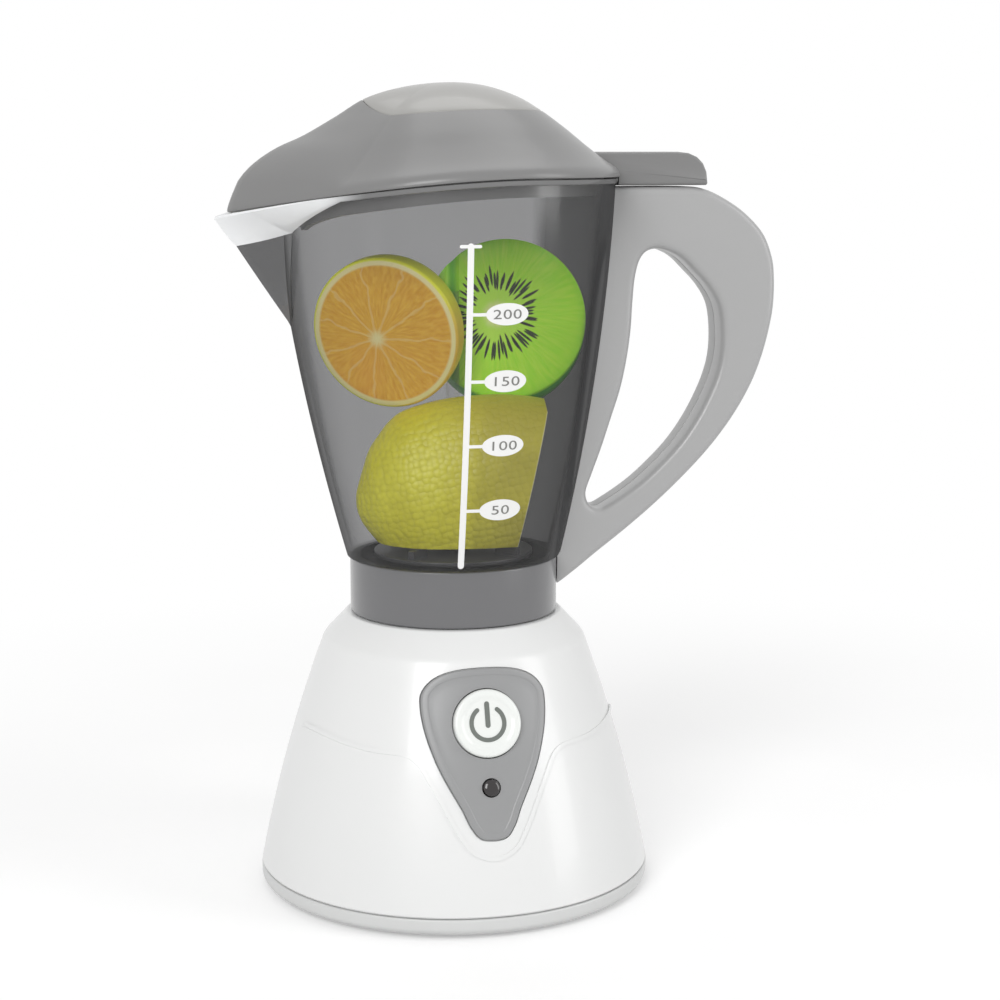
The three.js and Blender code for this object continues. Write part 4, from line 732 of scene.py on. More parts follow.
def orange_paint():
    """Cut face with segments, thin pale walls and a star, then pith, and a lime rind that browns."""
    paint = Paint("orange_half")
    x, y, z, out, r, turn, rays = face_map(paint, STAR_AT)
    spot = paint.place()
    cell = (turn + (paint.noise(spot, 160.0) * 0.3 - 0.15)) * (ORANGE_CELLS / (2 * math.pi)) + 20.0
    off = paint.math("ABSOLUTE", paint.math("FRACT", cell) - 0.5)
    wall = paint.step((0.5 - off) * (r * (2 * math.pi / ORANGE_CELLS)), 0.0001, 0.0005, 0.55, 0.0)
    streaks = paint.noise(rays(12.0, 200.0), 1.6, 4.0, 0.6, 0.4)
    flesh = paint.mix(paint.step(streaks, 0.3, 0.7), (0.86, 0.4, 0.015), (1.0, 0.6, 0.05))
    blush = paint.step(paint.noise(spot, 55.0, 1.0), 0.5, 0.72, 0.0, 0.3)
    flesh = paint.mix(blush, flesh, (1.0, 0.42, 0.05))
    flesh = paint.mix(wall, flesh, (1.0, 0.72, 0.25))
    star = paint.step(paint.noise(rays(12.0, 200.0), 2.2, 1.0) * 0.004 + r, 0.0024, 0.0056, 1.0, 0.0)
    flesh = paint.mix(star, flesh, (0.98, 0.86, 0.4))
    rim = ORANGE_R - RIND_T
    pith = paint.step(out, (rim - PITH_T - 0.4) * MM, (rim - PITH_T + 0.4) * MM)
    face = paint.mix(pith, flesh, (1.0, 0.9, 0.42))
    rind = paint.mix(paint.step(x - z * 0.6, 9 * MM, 23 * MM), (0.92, 0.95, 0.04), (0.85, 0.55, 0.05))
    face = paint.mix(paint.step(out, (rim + 0.1) * MM, (rim + 0.6) * MM), face, rind)
    colour = paint.mix(paint.step(y, 0.2 * MM, 0.7 * MM), face, rind)
    normal = paint.bump(streaks + paint.noise(spot, 900.0) * 0.5, 0.0002, 0.4)
    paint.done(paint.principled(Base_Color=colour, Roughness=0.42, Normal=normal))


SEED_ROWS = ((29, 0.0), (37, 0.37))  # how many seeds, and how far their ring is shifted
SEED_RING = (8.4, 3.4)  # the least distance of a seed's middle from the core's, and how much more it may be
SEED_SIZE = (1.7, 1.3, 0.36)  # half of a seed's least length, how much more it may be, and half its width
KIWI_CORE = (-2.6, 1.3)  # the core's place on the face
KIWI_CORE_R = 4.0
KIWI_SKIN_T = 1.0


def kiwi_paint():
    """Green flesh with a pale rayed core, a ring of black seeds and a darker rim."""
    paint = Paint("kiwi_slice")
    _, y, _, out, r, turn, rays = face_map(paint, KIWI_CORE)
    streaks = paint.noise(rays(14.0, 90.0), 1.4, 3.0, 0.6)
    flesh = paint.mix(paint.step(streaks, 0.3, 0.7), (0.42, 0.95, 0.02), (0.58, 1.0, 0.05))
    flesh = paint.mix(paint.step(r, 6.5 * MM, 12 * MM, 0.6, 0.0), flesh, (0.62, 1.0, 0.12))
    core = paint.step(streaks * 0.0035 + r, (KIWI_CORE_R - 0.6) * MM, (KIWI_CORE_R + 2.6) * MM, 1.0, 0.0)
    colour = paint.mix(core, flesh, (0.95, 1.0, 0.5))
    for count, shift in SEED_ROWS:
        cell = turn * (count / (2 * math.pi)) + (40.0 + shift)
        chance = paint.node("TexWhiteNoise", (1, paint.math("FLOOR", cell)), noise_dimensions="1D")
        off = paint.math("ABSOLUTE", paint.math("FRACT", cell) - 0.5) * (r * (2 * math.pi / count))
        middle = chance * (SEED_RING[1] * MM) + SEED_RING[0] * MM
        half = paint.math("FRACT", chance * 7.3) * (SEED_SIZE[1] * MM) + SEED_SIZE[0] * MM
        along, across = (r - middle) / half, off / (SEED_SIZE[2] * MM)
        seed = paint.step(along * along + across * across, 0.7, 1.3, 0.97, 0.0)
        colour = paint.mix(seed, colour, (0.01, 0.012, 0.008))
    rim = paint.step(out, (KIWI_R - KIWI_SKIN_T - 2) * MM, KIWI_R * MM, 0.0, 0.5)
    colour = paint.mix(rim, colour, (0.3, 0.85, 0.02))
    colour = paint.mix(paint.step(y, 0.5 * MM, 1.4 * MM), colour, (0.1, 0.62, 0.02))
    paint.done(paint.principled(Base_Color=colour, Roughness=0.4, Normal=paint.bump(streaks, 0.0002, 0.4)))


BUMP_SCALE = 560.0  # the peel's rounded bumps, in cells per metre
PITH_RING = (12.5, 13.6)  # where the flesh on the lemon's cut face turns to pith


def lemon_paint(cut_at, cut_across):
    """Yellow peel with fine rounded bumps and painted shade in the dips between them, olive towards the cut,
    and pith round the cut face's flesh.
    """
    paint = Paint("lemon_half")
    spot = paint.place()
    x, y, z = paint.split(spot)
    peel = paint.mix(paint.step(paint.noise(spot, 60.0), 0.3, 0.7), (0.8, 0.75, 0.02), (0.9, 0.86, 0.05))
    peel = paint.mix(paint.step(x, 20 * MM, 46 * MM, 0.0, 0.75), peel, (0.58, 0.5, 0.06))
    cells = paint.node("TexVoronoi", ("Vector", spot), ("Scale", BUMP_SCALE), ("Randomness", 0.55),
                       out="Distance")
    # painted shade: the peel darkens towards the cells' edges, where the bumps dip
    peel = paint.mix(paint.step(cells, 0.3, 0.8, 0.0, 0.22), peel, (0.5, 0.44, 0.02))
    depth = paint.node("VectorMath", (0, spot), (1, cut_across), out="Value", operation="DOT_PRODUCT")
    on_cut = paint.step(depth - cut_at, -0.0002, -0.00005)
    fibres = paint.step(paint.noise(spot, 260.0, 3.0), 0.3, 0.7)
    flesh = paint.mix(fibres, (0.6, 0.5, 0.12), (0.85, 0.74, 0.26))
    pith = paint.step(paint.length(y, z), PITH_RING[0] * MM, PITH_RING[1] * MM)
    colour = paint.mix(on_cut, peel, paint.mix(pith, flesh, (0.95, 0.92, 0.62)))
    normal = paint.bump(1.0 - cells * cells, 0.0006, 0.6)
    paint.done(paint.principled(Base_Color=colour, Roughness=0.4, Normal=normal))


def grey(level):
    return (level, level, level)


moulded("white_plastic", (0.83, 0.835, 0.83), 0.3, shade=0.003, coat=0.25)
moulded("button_plastic", (0.86, 0.88, 0.855), 0.28, shade=0.003, coat=0.3)
moulded("band_plastic", (0.68, 0.685, 0.68), 0.4, shade=0.005)
moulded("panel_plastic", (0.31, 0.312, 0.315), 0.36, shade=0.006)
moulded("symbol_ink", (0.16, 0.175, 0.16), 0.5)
moulded("lens_black", (0.012, 0.008, 0.009), 0.08, grain=0.000001, coat=0.5)
moulded("collar_plastic", (0.15, 0.15, 0.155), 0.24, shade=0.02, coat=0.3)
moulded("handle_plastic", grey(0.4), 0.3, shade=0.004, coat=0.1)
moulded("lid_plastic", (0.205, 0.204, 0.203), 0.33, shade=0.005, coat=0.1)
moulded("crown_plastic", (0.35, 0.345, 0.33), 0.3, shade=0.004, coat=0.15)
moulded("dark_plastic", (0.06, 0.06, 0.064), 0.3, shade=0.05)
moulded("gear_nylon", (0.8, 0.78, 0.7), 0.45, shade=0.03)
moulded("rubber_feet", grey(0.05), 0.75, grain=0.00002, shade=0.12)
moulded("cell_wrap", (0.04, 0.17, 0.09), 0.3, shade=0.08)
moulded("board_green", (0.03, 0.15, 0.06), 0.4, shade=0.12, cloud=400.0)
moulded("lead_red", (0.42, 0.02, 0.02), 0.45, shade=0.1)
moulded("lead_black", grey(0.02), 0.45, shade=0.1)
moulded("scale_ink", (0.88, 0.88, 0.87), 0.45, shade=0.01)
moulded("numeral_ink", (0.2, 0.2, 0.19), 0.5)
SMOKE = (0.045, 0.045, 0.046)
# painted shade: the jug's wall is darkened 0.78 deep on the handle's side
smoky("smoke_plastic", grey(0.96), (0.31, 0.31, 0.315), SMOKE, 0.88, handle_shade=0.78)
smoky("smoke_inside", grey(0.975), grey(0.975), SMOKE, 0.4, gloss=0.01, roughness=0.2, haze=0.01)
# painted highlight: the bead is painted near-white (0.94) towards the spout's tip
smoky("rim_bead", grey(0.8), grey(0.8), grey(0.17), 0.0, gloss=0.08, haze=0.88, lip=(0.94, 0.95, 0.96))
clear_plastic("clear_plastic", grey(0.97))
metal("screw_steel", grey(0.6), 0.32)
metal("contact_steel", (0.66, 0.65, 0.62), 0.28, (1.0, 6.0, 1.0))
metal("motor_steel", (0.55, 0.55, 0.56), 0.35, (1.0, 1.0, 8.0))
metal("shaft_steel", (0.58, 0.58, 0.59), 0.22, (8.0, 8.0, 1.0))
metal("brass", (0.72, 0.5, 0.2), 0.3, (1.0, 1.0, 6.0))
orange_paint()
kiwi_paint()


# Base housing and plate


def base_radius(z):
    share = np.clip((np.asarray(z, float) - BAND_TOP) / (SHOULDER_Z - BAND_TOP), 0, 1)
    return BASE_R + (SHOULDER_R - BASE_R) * share + BASE_BULGE * 4 * share * (1 - share)


PANEL_TILT = math.atan2(base_radius(BUTTON_Z - 1) - base_radius(BUTTON_Z + 1), 2)
PANEL_ORIGIN = np.array([0, -base_radius(BUTTON_Z), BUTTON_Z])
PANEL_AXES = np.array([
    (1, 0, 0),
    (0, math.sin(PANEL_TILT), math.cos(PANEL_TILT)),
    (0, -math.cos(PANEL_TILT), math.sin(PANEL_TILT)),
])


def at_panel(u, v, w):
    """A point over the panel's plane: u to the right, v up the slope, w outwards."""
    return tuple(PANEL_ORIGIN + np.array([u, v, w]) @ PANEL_AXES)


def on_base(u, v, lift):
    """The point over (u, v) of the panel's plane at a height over the base's surface."""
    w = 0.0
    for _ in range(8):
        x, y, z = at_panel(u, v, w)
        w += base_radius(z) + lift - math.hypot(x, y)
    return at_panel(u, v, w)


SHIELD_POINTS = 132


def shield(grow=0.0):
    half = [(a * PANEL_W / 2, PANEL_RISE - PANEL_H + b * PANEL_H) for a, b in PANEL_SHARES]
    return grown(smooth_loop(half + [(-u, v) for u, v in reversed(half)], SHIELD_POINTS), grow)


SHIELD_MIDDLE = np.array([0, PANEL_RISE - PANEL_H * 0.45])
SHIELD_FAN = np.linspace(0.9, 0.08, 11)  # sizes of the rings that fill the outline
RIDGE_POINTS = 120


def shield_body(levels, back_lift, grow=0.0):
    """A body of the shield's outline: (inset, lift) levels from its back edge to its field, which follows
    the base's surface."""
    def fan(shares, outline, lift):
        return [[on_base(*(SHIELD_MIDDLE + (p - SHIELD_MIDDLE) * share), lift) for p in outline]
                for share in shares]

    field_inset, field_lift = levels[-1]
    return skin([
        [on_base(*SHIELD_MIDDLE, back_lift)], *fan(SHIELD_FAN[::-1], shield(grow), back_lift),
        *([on_base(*p, lift) for p in shield(grow - inset)] for inset, lift in levels),
        *fan(SHIELD_FAN, shield(grow - field_inset), field_lift), [on_base(*SHIELD_MIDDLE, field_lift)],
    ])


def make_ridge():
    """The low ridge that runs round the panel's foot and out over both flanks of the base."""
    points = np.array([*((-u, v) for u, v in RIDGE_HALF[:0:-1]), *RIDGE_HALF])
    guided = [2 * points[0] - points[1], *points, 2 * points[-1] - points[-2]]
    ridge = stroke(smooth_curve(guided, RIDGE_POINTS), RIDGE_W, -RIDGE_H, RIDGE_H, on_base)
    dress(piece("base_ridge", ridge), "base", "white_plastic", sharp=60)


def panel_rod(r, w0, w1, v=0.0):
    return mapped(rod(r, w0, w1, 0, v), at_panel)


def make_housing():
    low = SHOULDER_Z - SHOULDER_ROUND
    side = [(base_radius(z), z) for z in np.linspace(HOUSING_Z + EDGE, low, HOUSING_ROWS[0])]
    inner = [(base_radius(z) - BASE_WALL, z) for z in np.linspace(SHOULDER_Z, HOUSING_Z, HOUSING_ROWS[1])]
    spigot_in = SPIGOT_R - SPIGOT_WALL
    under = TOP_Z - BASE_WALL
    top = rounded([
        (*side[-1], 0), (SHOULDER_R, SHOULDER_Z, SHOULDER_ROUND), (TOP_R, TOP_Z, EDGE),
        (SPIGOT_R, TOP_Z, FINE_EDGE), (SPIGOT_R, SPIGOT_TOP, EDGE), (spigot_in, SPIGOT_TOP, EDGE),
        (spigot_in, TOP_Z, 0), (BUSH_HOLE_R, TOP_Z, 0), (BUSH_HOLE_R, under, 0),
        (TOP_R - BASE_WALL, under, 0),
    ])
    foot = (base_radius(HOUSING_Z) - EDGE, HOUSING_Z)
    made = piece("base_housing_shell", turned([foot, *side[:-1], *top, *inner]))
    key = block(spigot_in + 1, SPIGOT_R + KEY_OUT, -KEY_W / 2, KEY_W / 2, TOP_Z - 1, SPIGOT_TOP - 1)
    carve(made, "UNION", *spread("key", KEY_COUNT, math.pi / 2, key))
    carve(
        made, "DIFFERENCE",
        piece("pocket", shield_body([(0, -PANEL_SINK - GAP), (0, POCKET_LIFT)], -PANEL_SINK - GAP, GAP)),
        piece("hole", panel_rod(BUTTON_R + GAP, FLANGE_W[0], BUTTON_PROUD)),
        piece("hole", panel_rod(LED_R + GAP, FLANGE_W[0], BUTTON_PROUD, -LED_DROP)),
    )
    dress(made, "base", "white_plastic", "base_housing")


def make_plate():
    lip_low, lip_high = (base_radius(z) - BASE_WALL - GAP for z in (BAND_TOP, BAND_TOP + LIP_H))
    lip_in = lip_high - LIP_T
    foot = BASE_R - PLATE_CHAMFER
    made = piece("base_plate_pan", turned(rounded([
        (0, PLATE_Z, 0), (foot, PLATE_Z, SOFT_EDGE), (BASE_R, PLATE_Z + PLATE_CHAMFER, SOFT_EDGE),
        (BASE_R, BAND_TOP, EDGE), (lip_low, BAND_TOP, 0), (lip_high, BAND_TOP + LIP_H, SLIM_EDGE),
        (lip_in, BAND_TOP + LIP_H, SLIM_EDGE), (lip_in, PLATE_TOP, 0), (0, PLATE_TOP, 0),
    ]), closed=False))
    screws = [polar(SCREW_CIRCLE_R, k * TURN / 6) for k in SCREW_SIXTHS]
    feet = [polar(FOOT_CIRCLE_R, k * TURN / 12) for k in FOOT_TWELFTHS]
    in_x, in_y, shelf, low = CELL_BOX_X, CELL_BOX_Y, PLATE_Z + DOOR_T, PLATE_TOP - INTO
    box_x, box_y, tongue_y = in_x + CELL_BOX_WALL, in_y + CELL_BOX_WALL, TONGUE_Y + BASE_WALL
    carve(
        made, "UNION",
        piece("box", block(-box_x, box_x, -box_y, box_y, shelf, CELL_BOX_TOP + CELL_BOX_WALL)),
        piece("pad", block(-TONGUE_X - BASE_WALL, 0, -tongue_y, tongue_y, shelf, PLATE_TOP + BASE_WALL)),
        piece("boss", rod(SCREW_BOSS_R, low, DOOR_BOSS_TOP, -DOOR_SCREW_X)),
        *(piece("boss", rod(SCREW_BOSS_R, shelf, SCREW_BOSS_TOP, *spot)) for spot in screws),
    )
    carve(
        made, "DIFFERENCE",
        *(piece("hole", rod(SCREW_HOLE_R, 0, WHOLE, *spot)) for spot in screws),
        *(piece("seat", rod(SCREW_SEAT_R, 0, PLATE_TOP + GAP, *spot)) for spot in screws),
        *(piece("pocket", rod(FOOT_R + GAP, 0, PLATE_Z + FOOT_SINK + GAP, *spot)) for spot in feet),
        piece("hollow", block(-in_x, in_x, -in_y, in_y, low, CELL_BOX_TOP)),
        piece("opening", block(-in_x - GAP, DOOR_OPEN_X, -in_y, in_y, 0, PLATE_TOP + 1)),
        piece("tongue", block(-TONGUE_X - GAP, -in_x + 1, -TONGUE_Y, TONGUE_Y, 0, shelf + GAP)),
        piece("bore", rod(DOOR_SCREW_HOLE_R, 0, DOOR_SCREW_HOLE_TOP, -DOOR_SCREW_X)),
    )
    dress(made, "base", "band_plastic", "base_plate")


# Control panel, button, symbol and lens


def make_panel():
    top = [p[:2] for p in fillet((0, PANEL_PROUD), (0, -1), (1, PANEL_PROUD), PANEL_EDGE)]
    border = [(PANEL_BORDER + across, PANEL_PROUD - down) for across, down in PANEL_STEP]
    made = piece("control_panel_shield", shield_body([(0, -PANEL_SINK), *top, *border], -PANEL_SINK))
    carve(
        made, "DIFFERENCE",
        piece("hole", panel_rod(BUTTON_R + GAP, -BUTTON_R, BUTTON_R)),
        piece("hole", panel_rod(LED_R + GAP, -BUTTON_R, BUTTON_R, -LED_DROP)),
    )
    dress(made, "base", "panel_plastic", "control_panel", sharp=40)


def make_button():
    level_r, start_r = DISH_R
    dish = [(start_r + (level_r - start_r) * t, BUTTON_PROUD - DISH_DEPTH * (1 - math.cos(math.pi * t)) / 2)
            for t in np.linspace(0, 1, 9)]
    floor = BUTTON_PROUD - DISH_DEPTH
    profile = [
        (0, STEM_BACK), (STEM_R, STEM_BACK), (STEM_R, FLANGE_W[0]), (FLANGE_R, FLANGE_W[0]),
        (FLANGE_R, FLANGE_W[1]), (BUTTON_R, FLANGE_W[1]),
        *fillet((BUTTON_R, BUTTON_PROUD), (BUTTON_R, 0), (0, BUTTON_PROUD), BUTTON_EDGE, 8),
        *dish, (level_r / 2, floor), (0, floor),
    ]
    made = piece("power_button_cap", mapped(turned(profile, BUTTON_ROUND, False), at_panel))
    dress(made, "button", "white_plastic", "power_button", look="button_plastic")
    low, high = (floor + lift for lift in SYMBOL_LIFT)
    turn = np.linspace(math.pi / 2 + SYMBOL_OPEN, math.pi / 2 - SYMBOL_OPEN + TURN, 60)
    ring = stroke([polar(SYMBOL_R, a) for a in turn], SYMBOL_STROKE, low, high, at_panel)
    bar = stroke([(0, v) for v in np.linspace(*SYMBOL_BAR, 3)], SYMBOL_BAR_W, low, high, at_panel)
    dress(piece("power_symbol", joined(ring, bar)), "button", "panel_plastic", look="symbol_ink")


def make_lens():
    dome = [(LED_R * math.cos(t), LENS_EDGE + (LENS_PROUD - LENS_EDGE) * math.sin(t))
            for t in np.linspace(0, math.pi / 2, 9)[:-1]]
    profile = [(0, -BASE_WALL), (LED_R, -BASE_WALL), *dome, (0, LENS_PROUD)]
    shape = turned(profile, SMALL_ROUND, False, (0, -LED_DROP))
    dress(piece("indicator_dome", mapped(shape, at_panel)), "base", "lens_black", "indicator_lens")


# Jug collar and jug


def make_collar():
    made = piece("jug_collar_ring", turned(rounded([
        (COLLAR_BORE_R, COLLAR_Z, FINE_EDGE), (COLLAR_R, COLLAR_Z, EDGE), (COLLAR_R, COLLAR_TOP, EDGE),
        (COLLAR_BORE_R, COLLAR_TOP, 0), (COLLAR_BORE_R, FLANGE_TOP, 0),
        (FLANGE_HOLE_R, FLANGE_TOP, FINE_EDGE), (FLANGE_HOLE_R, FLANGE_Z, FINE_EDGE),
        (COLLAR_BORE_R, FLANGE_Z, 0),
    ])))
    half = KEY_W / 2 + GAP
    slot = block(SPIGOT_R - 1, SPIGOT_R + KEY_OUT + GAP, -half, half, TOP_Z - 1, SPIGOT_TOP - 1 + GAP)
    carve(made, "DIFFERENCE", *spread("slot", KEY_COUNT, math.pi / 2, slot))
    dress(made, "jug", "collar_plastic", "jug_collar")


def body_radius(z):
    share = np.clip((np.asarray(z, float) - COLLAR_TOP) / (RIM_Z - COLLAR_TOP), 0, 1)
    return JUG_FOOT_R + (JUG_RIM_R - JUG_FOOT_R) * share + JUG_BULGE * 4 * share * (1 - share)


COLUMNS = 112
JUG_ROWS = (64, 44)  # outside and inside
RING_TURNS = 6  # a ring's height and its columns follow each other, so both are found in turns
TIP_Z = RIM_Z - RIM_DROOP
SPOUT_OUT = SPOUT_REACH - body_radius(TIP_Z) - SPOUT_SWELL - RIM_BEAD


def from_keel(angle):
    """The turn away from the spout's keel, which lies on the left."""
    return np.abs(np.mod(angle, TURN) - math.pi)


def broad_share(angle):
    """1 over the spout's keel, falling to 0 where the lip meets the round rim."""
    return np.clip(1 - from_keel(angle) / SPOUT_HALF_ANGLE, 0, 1)


def spout_climb(z):
    return np.clip((z - SPOUT_START_Z) / (TIP_Z - SPOUT_START_Z), 0, 1)


def crease_angle(z):
    return CREASE_LEAST + CREASE_ANGLE * spout_climb(z) ** CREASE_CURVE


def jug_radius(angle, z):
    """The jug's outer radius below its lip: a round taper, a soft keel, and above it the folded spout."""
    swell = SPOUT_SWELL * np.clip((z - COLLAR_TOP) / (SPOUT_START_Z - COLLAR_TOP), 0, 1)
    away, crease = from_keel(angle), crease_angle(z)

    def egg(turn):
        return body_radius(z) + swell * np.clip(1 - turn / SPOUT_HALF_ANGLE, 0, 1) ** SPOUT_POINT

    keel = body_radius(z) + swell + SPOUT_OUT * spout_climb(z)
    edge = egg(crease)
    near = np.minimum(away, crease)
    folded = keel * edge * np.sin(crease) / (keel * np.sin(near) + edge * np.sin(crease - near))
    groove = CREASE_DEPTH * np.clip((z - SPOUT_START_Z) / CREASE_FADE, 0, 1)
    dent = groove * np.clip(1 - np.abs(away - crease) * edge / CREASE_HALF_W, 0, 1)
    return np.where(away < crease, folded, egg(away)) - dent


def rim_fall(x):
    share = np.maximum(0, (RIM_LEVEL_X - x) / (RIM_LEVEL_X + SPOUT_REACH))
    return RIM_DROOP * share**RIM_CURVE


def flared(angle, z):
    return body_radius(z) + (SPOUT_SWELL + SPOUT_OUT) * broad_share(angle) ** SPOUT_POINT


def rim_z(angle):
    return RIM_Z - rim_fall(flared(angle, TIP_Z) * np.cos(angle))


def rim_radius(angle):
    return flared(angle, rim_z(angle))


def bead_height(angle):
    return RIM_BEAD_H + LIP_DEPTH * broad_share(angle)


# Columns of points from the keel: up to the crease, across its groove, to the spout's side, to the handle
FOLD_COLUMNS, GROOVE_COLUMNS, SPOUT_COLUMNS = 7, 10, 24


def column_angles(z):
    """The angles of a ring's points, which keep to the crease as it climbs; z is one height for each."""
    index = np.arange(COLUMNS)
    k = np.minimum(index, COLUMNS - index)  # the same on both sides of the keel
    crease = crease_angle(z)
    margin = CREASE_HALF_W / JUG_RIM_R
    middle = (GROOVE_COLUMNS - FOLD_COLUMNS) / 2
    spout = (k - GROOVE_COLUMNS) / (SPOUT_COLUMNS - GROOVE_COLUMNS)
    rest = (k - SPOUT_COLUMNS) / (COLUMNS // 2 - SPOUT_COLUMNS)
    away = np.select(
        [k <= FOLD_COLUMNS, k <= GROOVE_COLUMNS, k <= SPOUT_COLUMNS],
        [(crease - margin) * k / FOLD_COLUMNS, crease + margin * (k - FOLD_COLUMNS - middle) / middle,
         crease + margin + (SPOUT_HALF_ANGLE - crease - margin) * spout],
        SPOUT_HALF_ANGLE + (math.pi - SPOUT_HALF_ANGLE) * rest,
    )
    return math.pi + np.where(index <= COLUMNS // 2, away, -away)


def ring_at(radius, angle, z):
    return list(zip(radius * np.cos(angle), radius * np.sin(angle), z * np.ones(len(angle))))


def side_ring(z_low, share, offset):
    """A ring of the jug's side, a share of the way from a level up to the lip."""
    z = np.full(COLUMNS, float(z_low))
    for _ in range(RING_TURNS):
        angle = column_angles(z)
        top = rim_z(angle) - bead_height(angle)
        z = z_low + (top - z_low) * share
    return ring_at(jug_radius(angle, z) + offset, angle, z), angle, z


def rib_shape(root, clear=0.0):
    """The upright rib on the jug's side that the handle's halves close round. It starts inside the wall."""
    low, high, out = RIB_Z[0] - clear, RIB_Z[1] + clear, RIB_OUT + clear
    reach = RIB_T / 2 + clear
    side = [(low, -root), (low, out), (high, out), (high, -root)]
    return skin([[(body_radius(z) + away, y, z) for z, away in side] for y in (-reach, reach)])


def make_jug():
    base_angle = column_angles(np.full(COLUMNS, JUG_STEP_Z))

    def level(r, z):
        return ring_at(r, base_angle, z)

    outer = [side_ring(JUG_STEP_Z, share, 0)[0] for share in np.linspace(0, 1, JUG_ROWS[0])]
    _, angle, top = side_ring(JUG_STEP_Z, 1, 0)
    narrow, broad, rim = jug_radius(angle, top), rim_radius(angle) + RIM_BEAD, rim_z(angle)
    flare = LIP_FLARE[0] + LIP_FLARE[1] * broad_share(angle)
    depth = bead_height(angle)
    lip = []
    for drop in LIP_DROPS:
        out = (1 - drop) ** flare / (1 - LIP_DROPS[-1]) ** flare
        lip.append(ring_at(narrow + (broad - narrow) * out, angle, rim - depth * drop))
    lip.append(ring_at(broad - RIM_ROUND * BEND, angle, rim - RIM_ROUND * BEND))
    lip += [ring_at(broad - inwards, angle, rim) for inwards in (RIM_ROUND, JUG_WALL)]
    inner = [side_ring(JUG_STEP_Z + JUG_WALL, share, -JUG_WALL)[0]
             for share in np.linspace(1, 0, JUG_ROWS[1])]
    width, curve = JUG_CORNER
    corner = [level(JUG_FOOT_R - JUG_WALL - t * width, JUG_STEP_Z + JUG_WALL * (1 - t) ** curve)
              for t in (0.35, 0.7)]
    foot = [level(BUSH_HOLE_R, JUG_BOTTOM), level(PLUG_R, JUG_BOTTOM), level(PLUG_R, JUG_STEP_Z)]
    floor = [level(JUG_FLOOR_R, JUG_FLOOR_TOP), level(BUSH_HOLE_R, JUG_FLOOR_TOP)]
    made = piece("jug_shell", skin([*foot, *outer, *lip, *inner, *corner, *floor], True))
    for look in ("smoke_plastic", "rim_bead", "smoke_inside"):
        made.data.materials.append(LOOKS[look])
    lip_from = (len(foot) + len(outer) - 1) * COLUMNS
    inside_from = lip_from + len(lip) * COLUMNS
    for face in made.data.polygons:
        low, high = min(face.vertices), max(face.vertices)
        if low >= lip_from and high < inside_from + COLUMNS:
            face.material_index = 1
        elif low >= inside_from:
            face.material_index = 2
    carve(made, "UNION", piece("rib", rib_shape(RIB_ROOT)))
    dress(made, "jug", "smoke_plastic", "jug", sharp=24)


def jug_form(clear):
    """The jug's outer form, enlarged by a clearance, that cuts what wraps round it."""
    angle = around(ROUND)
    rings = [ring_at(COLLAR_R + clear, angle, z) for z in (COLLAR_Z - 1, COLLAR_TOP)]
    for share in np.linspace(0.002, 1, 40):
        z = COLLAR_TOP + (rim_z(angle) - RIM_BEAD_H - COLLAR_TOP) * share
        rings.append(ring_at(body_radius(z) + clear, angle, z))
    edge = rim_radius(angle) + RIM_BEAD + clear
    rings += [ring_at(edge, angle, rim_z(angle) + up) for up in (-RIM_BEAD_H, clear)]
    return piece("jug_form", skin(rings))


# Measuring scale


def on_jug(x, z, lift):
    """A point on the jug's front, seen straight from the front at (x, z)."""
    r = body_radius(z) + INK_LIFT + lift
    return x, -math.sqrt(r * r - x * x), z


def make_scale():
    def at(u, v, w):
        return on_jug(SCALE_X + u, v, w)

    def level_stroke(u0, u1, z, width, count):
        return stroke([(u, z) for u in np.linspace(u0, u1, count)], width, 0, INK_T + INK_MORE, at)

    def oval(z, share, w):
        spots = around(OVAL_POINTS) if share else [0.0]
        across, up = share * MARK_W / 2, share * MARK_H / 2
        return [at(MARK_X + across * math.cos(a), z + up * math.sin(a), w) for a in spots]

    line = [(0, z) for z in np.linspace(SCALE_Z[0] + SCALE_FOOT, SCALE_Z[1], 40)]
    shapes = [
        stroke(line, SCALE_LINE_W, 0, INK_T, at),
        level_stroke(-SCALE_CAP_W / 2, SCALE_CAP_W / 2, SCALE_Z[1], SCALE_CAP_H, 9),
    ]
    for z in SCALE_MARKS.values():
        shapes.append(level_stroke(0, MARK_X - MARK_W / 2 + INTO, z, TICK_H, 5))
        shapes.append(skin([oval(z, *ring) for ring in OVAL_RINGS]))
    dress(piece("measuring_scale", joined(*shapes)), "jug", "white_plastic", look="scale_ink", sharp=60)
    numerals = []
    for text, z in SCALE_MARKS.items():
        letters = bpy.data.curves.new("numeral", "FONT")
        letters.body = text
        letters.size = NUMERAL_H / FONT_HEIGHT
        letters.align_x = "CENTER"
        letters.extrude = INK_T / 2
        letters.space_character = NUMERAL_SPACING
        source = placed("numeral", letters)
        flat = finished_mesh(source)
        low = z - NUMERAL_H / 2
        spots = [v.co for v in flat.vertices]
        spots = [at(MARK_X + x * NUMERAL_STRETCH, low + y, NUMERAL_LIFT + up) for x, y, up in spots]
        numerals.append((spots, [tuple(p.vertices) for p in flat.polygons]))
        bpy.data.objects.remove(source)
    dress(piece("scale_numerals", joined(*numerals)), "jug", "panel_plastic", look="numeral_ink")


# Handle


def on_handle(shares):
    width, height = HANDLE_REACH - JUG_FOOT_R, HANDLE_TOP_Z - HANDLE_FOOT_Z
    return [(JUG_FOOT_R + a * width, HANDLE_FOOT_Z + b * height) for a, b in shares]


def anticlockwise(loop):
    x, y = loop[:, 0], loop[:, 1]
    area = np.sum(x * np.roll(y, -1) - np.roll(x, -1) * y)
    return loop if area > 0 else loop[::-1]


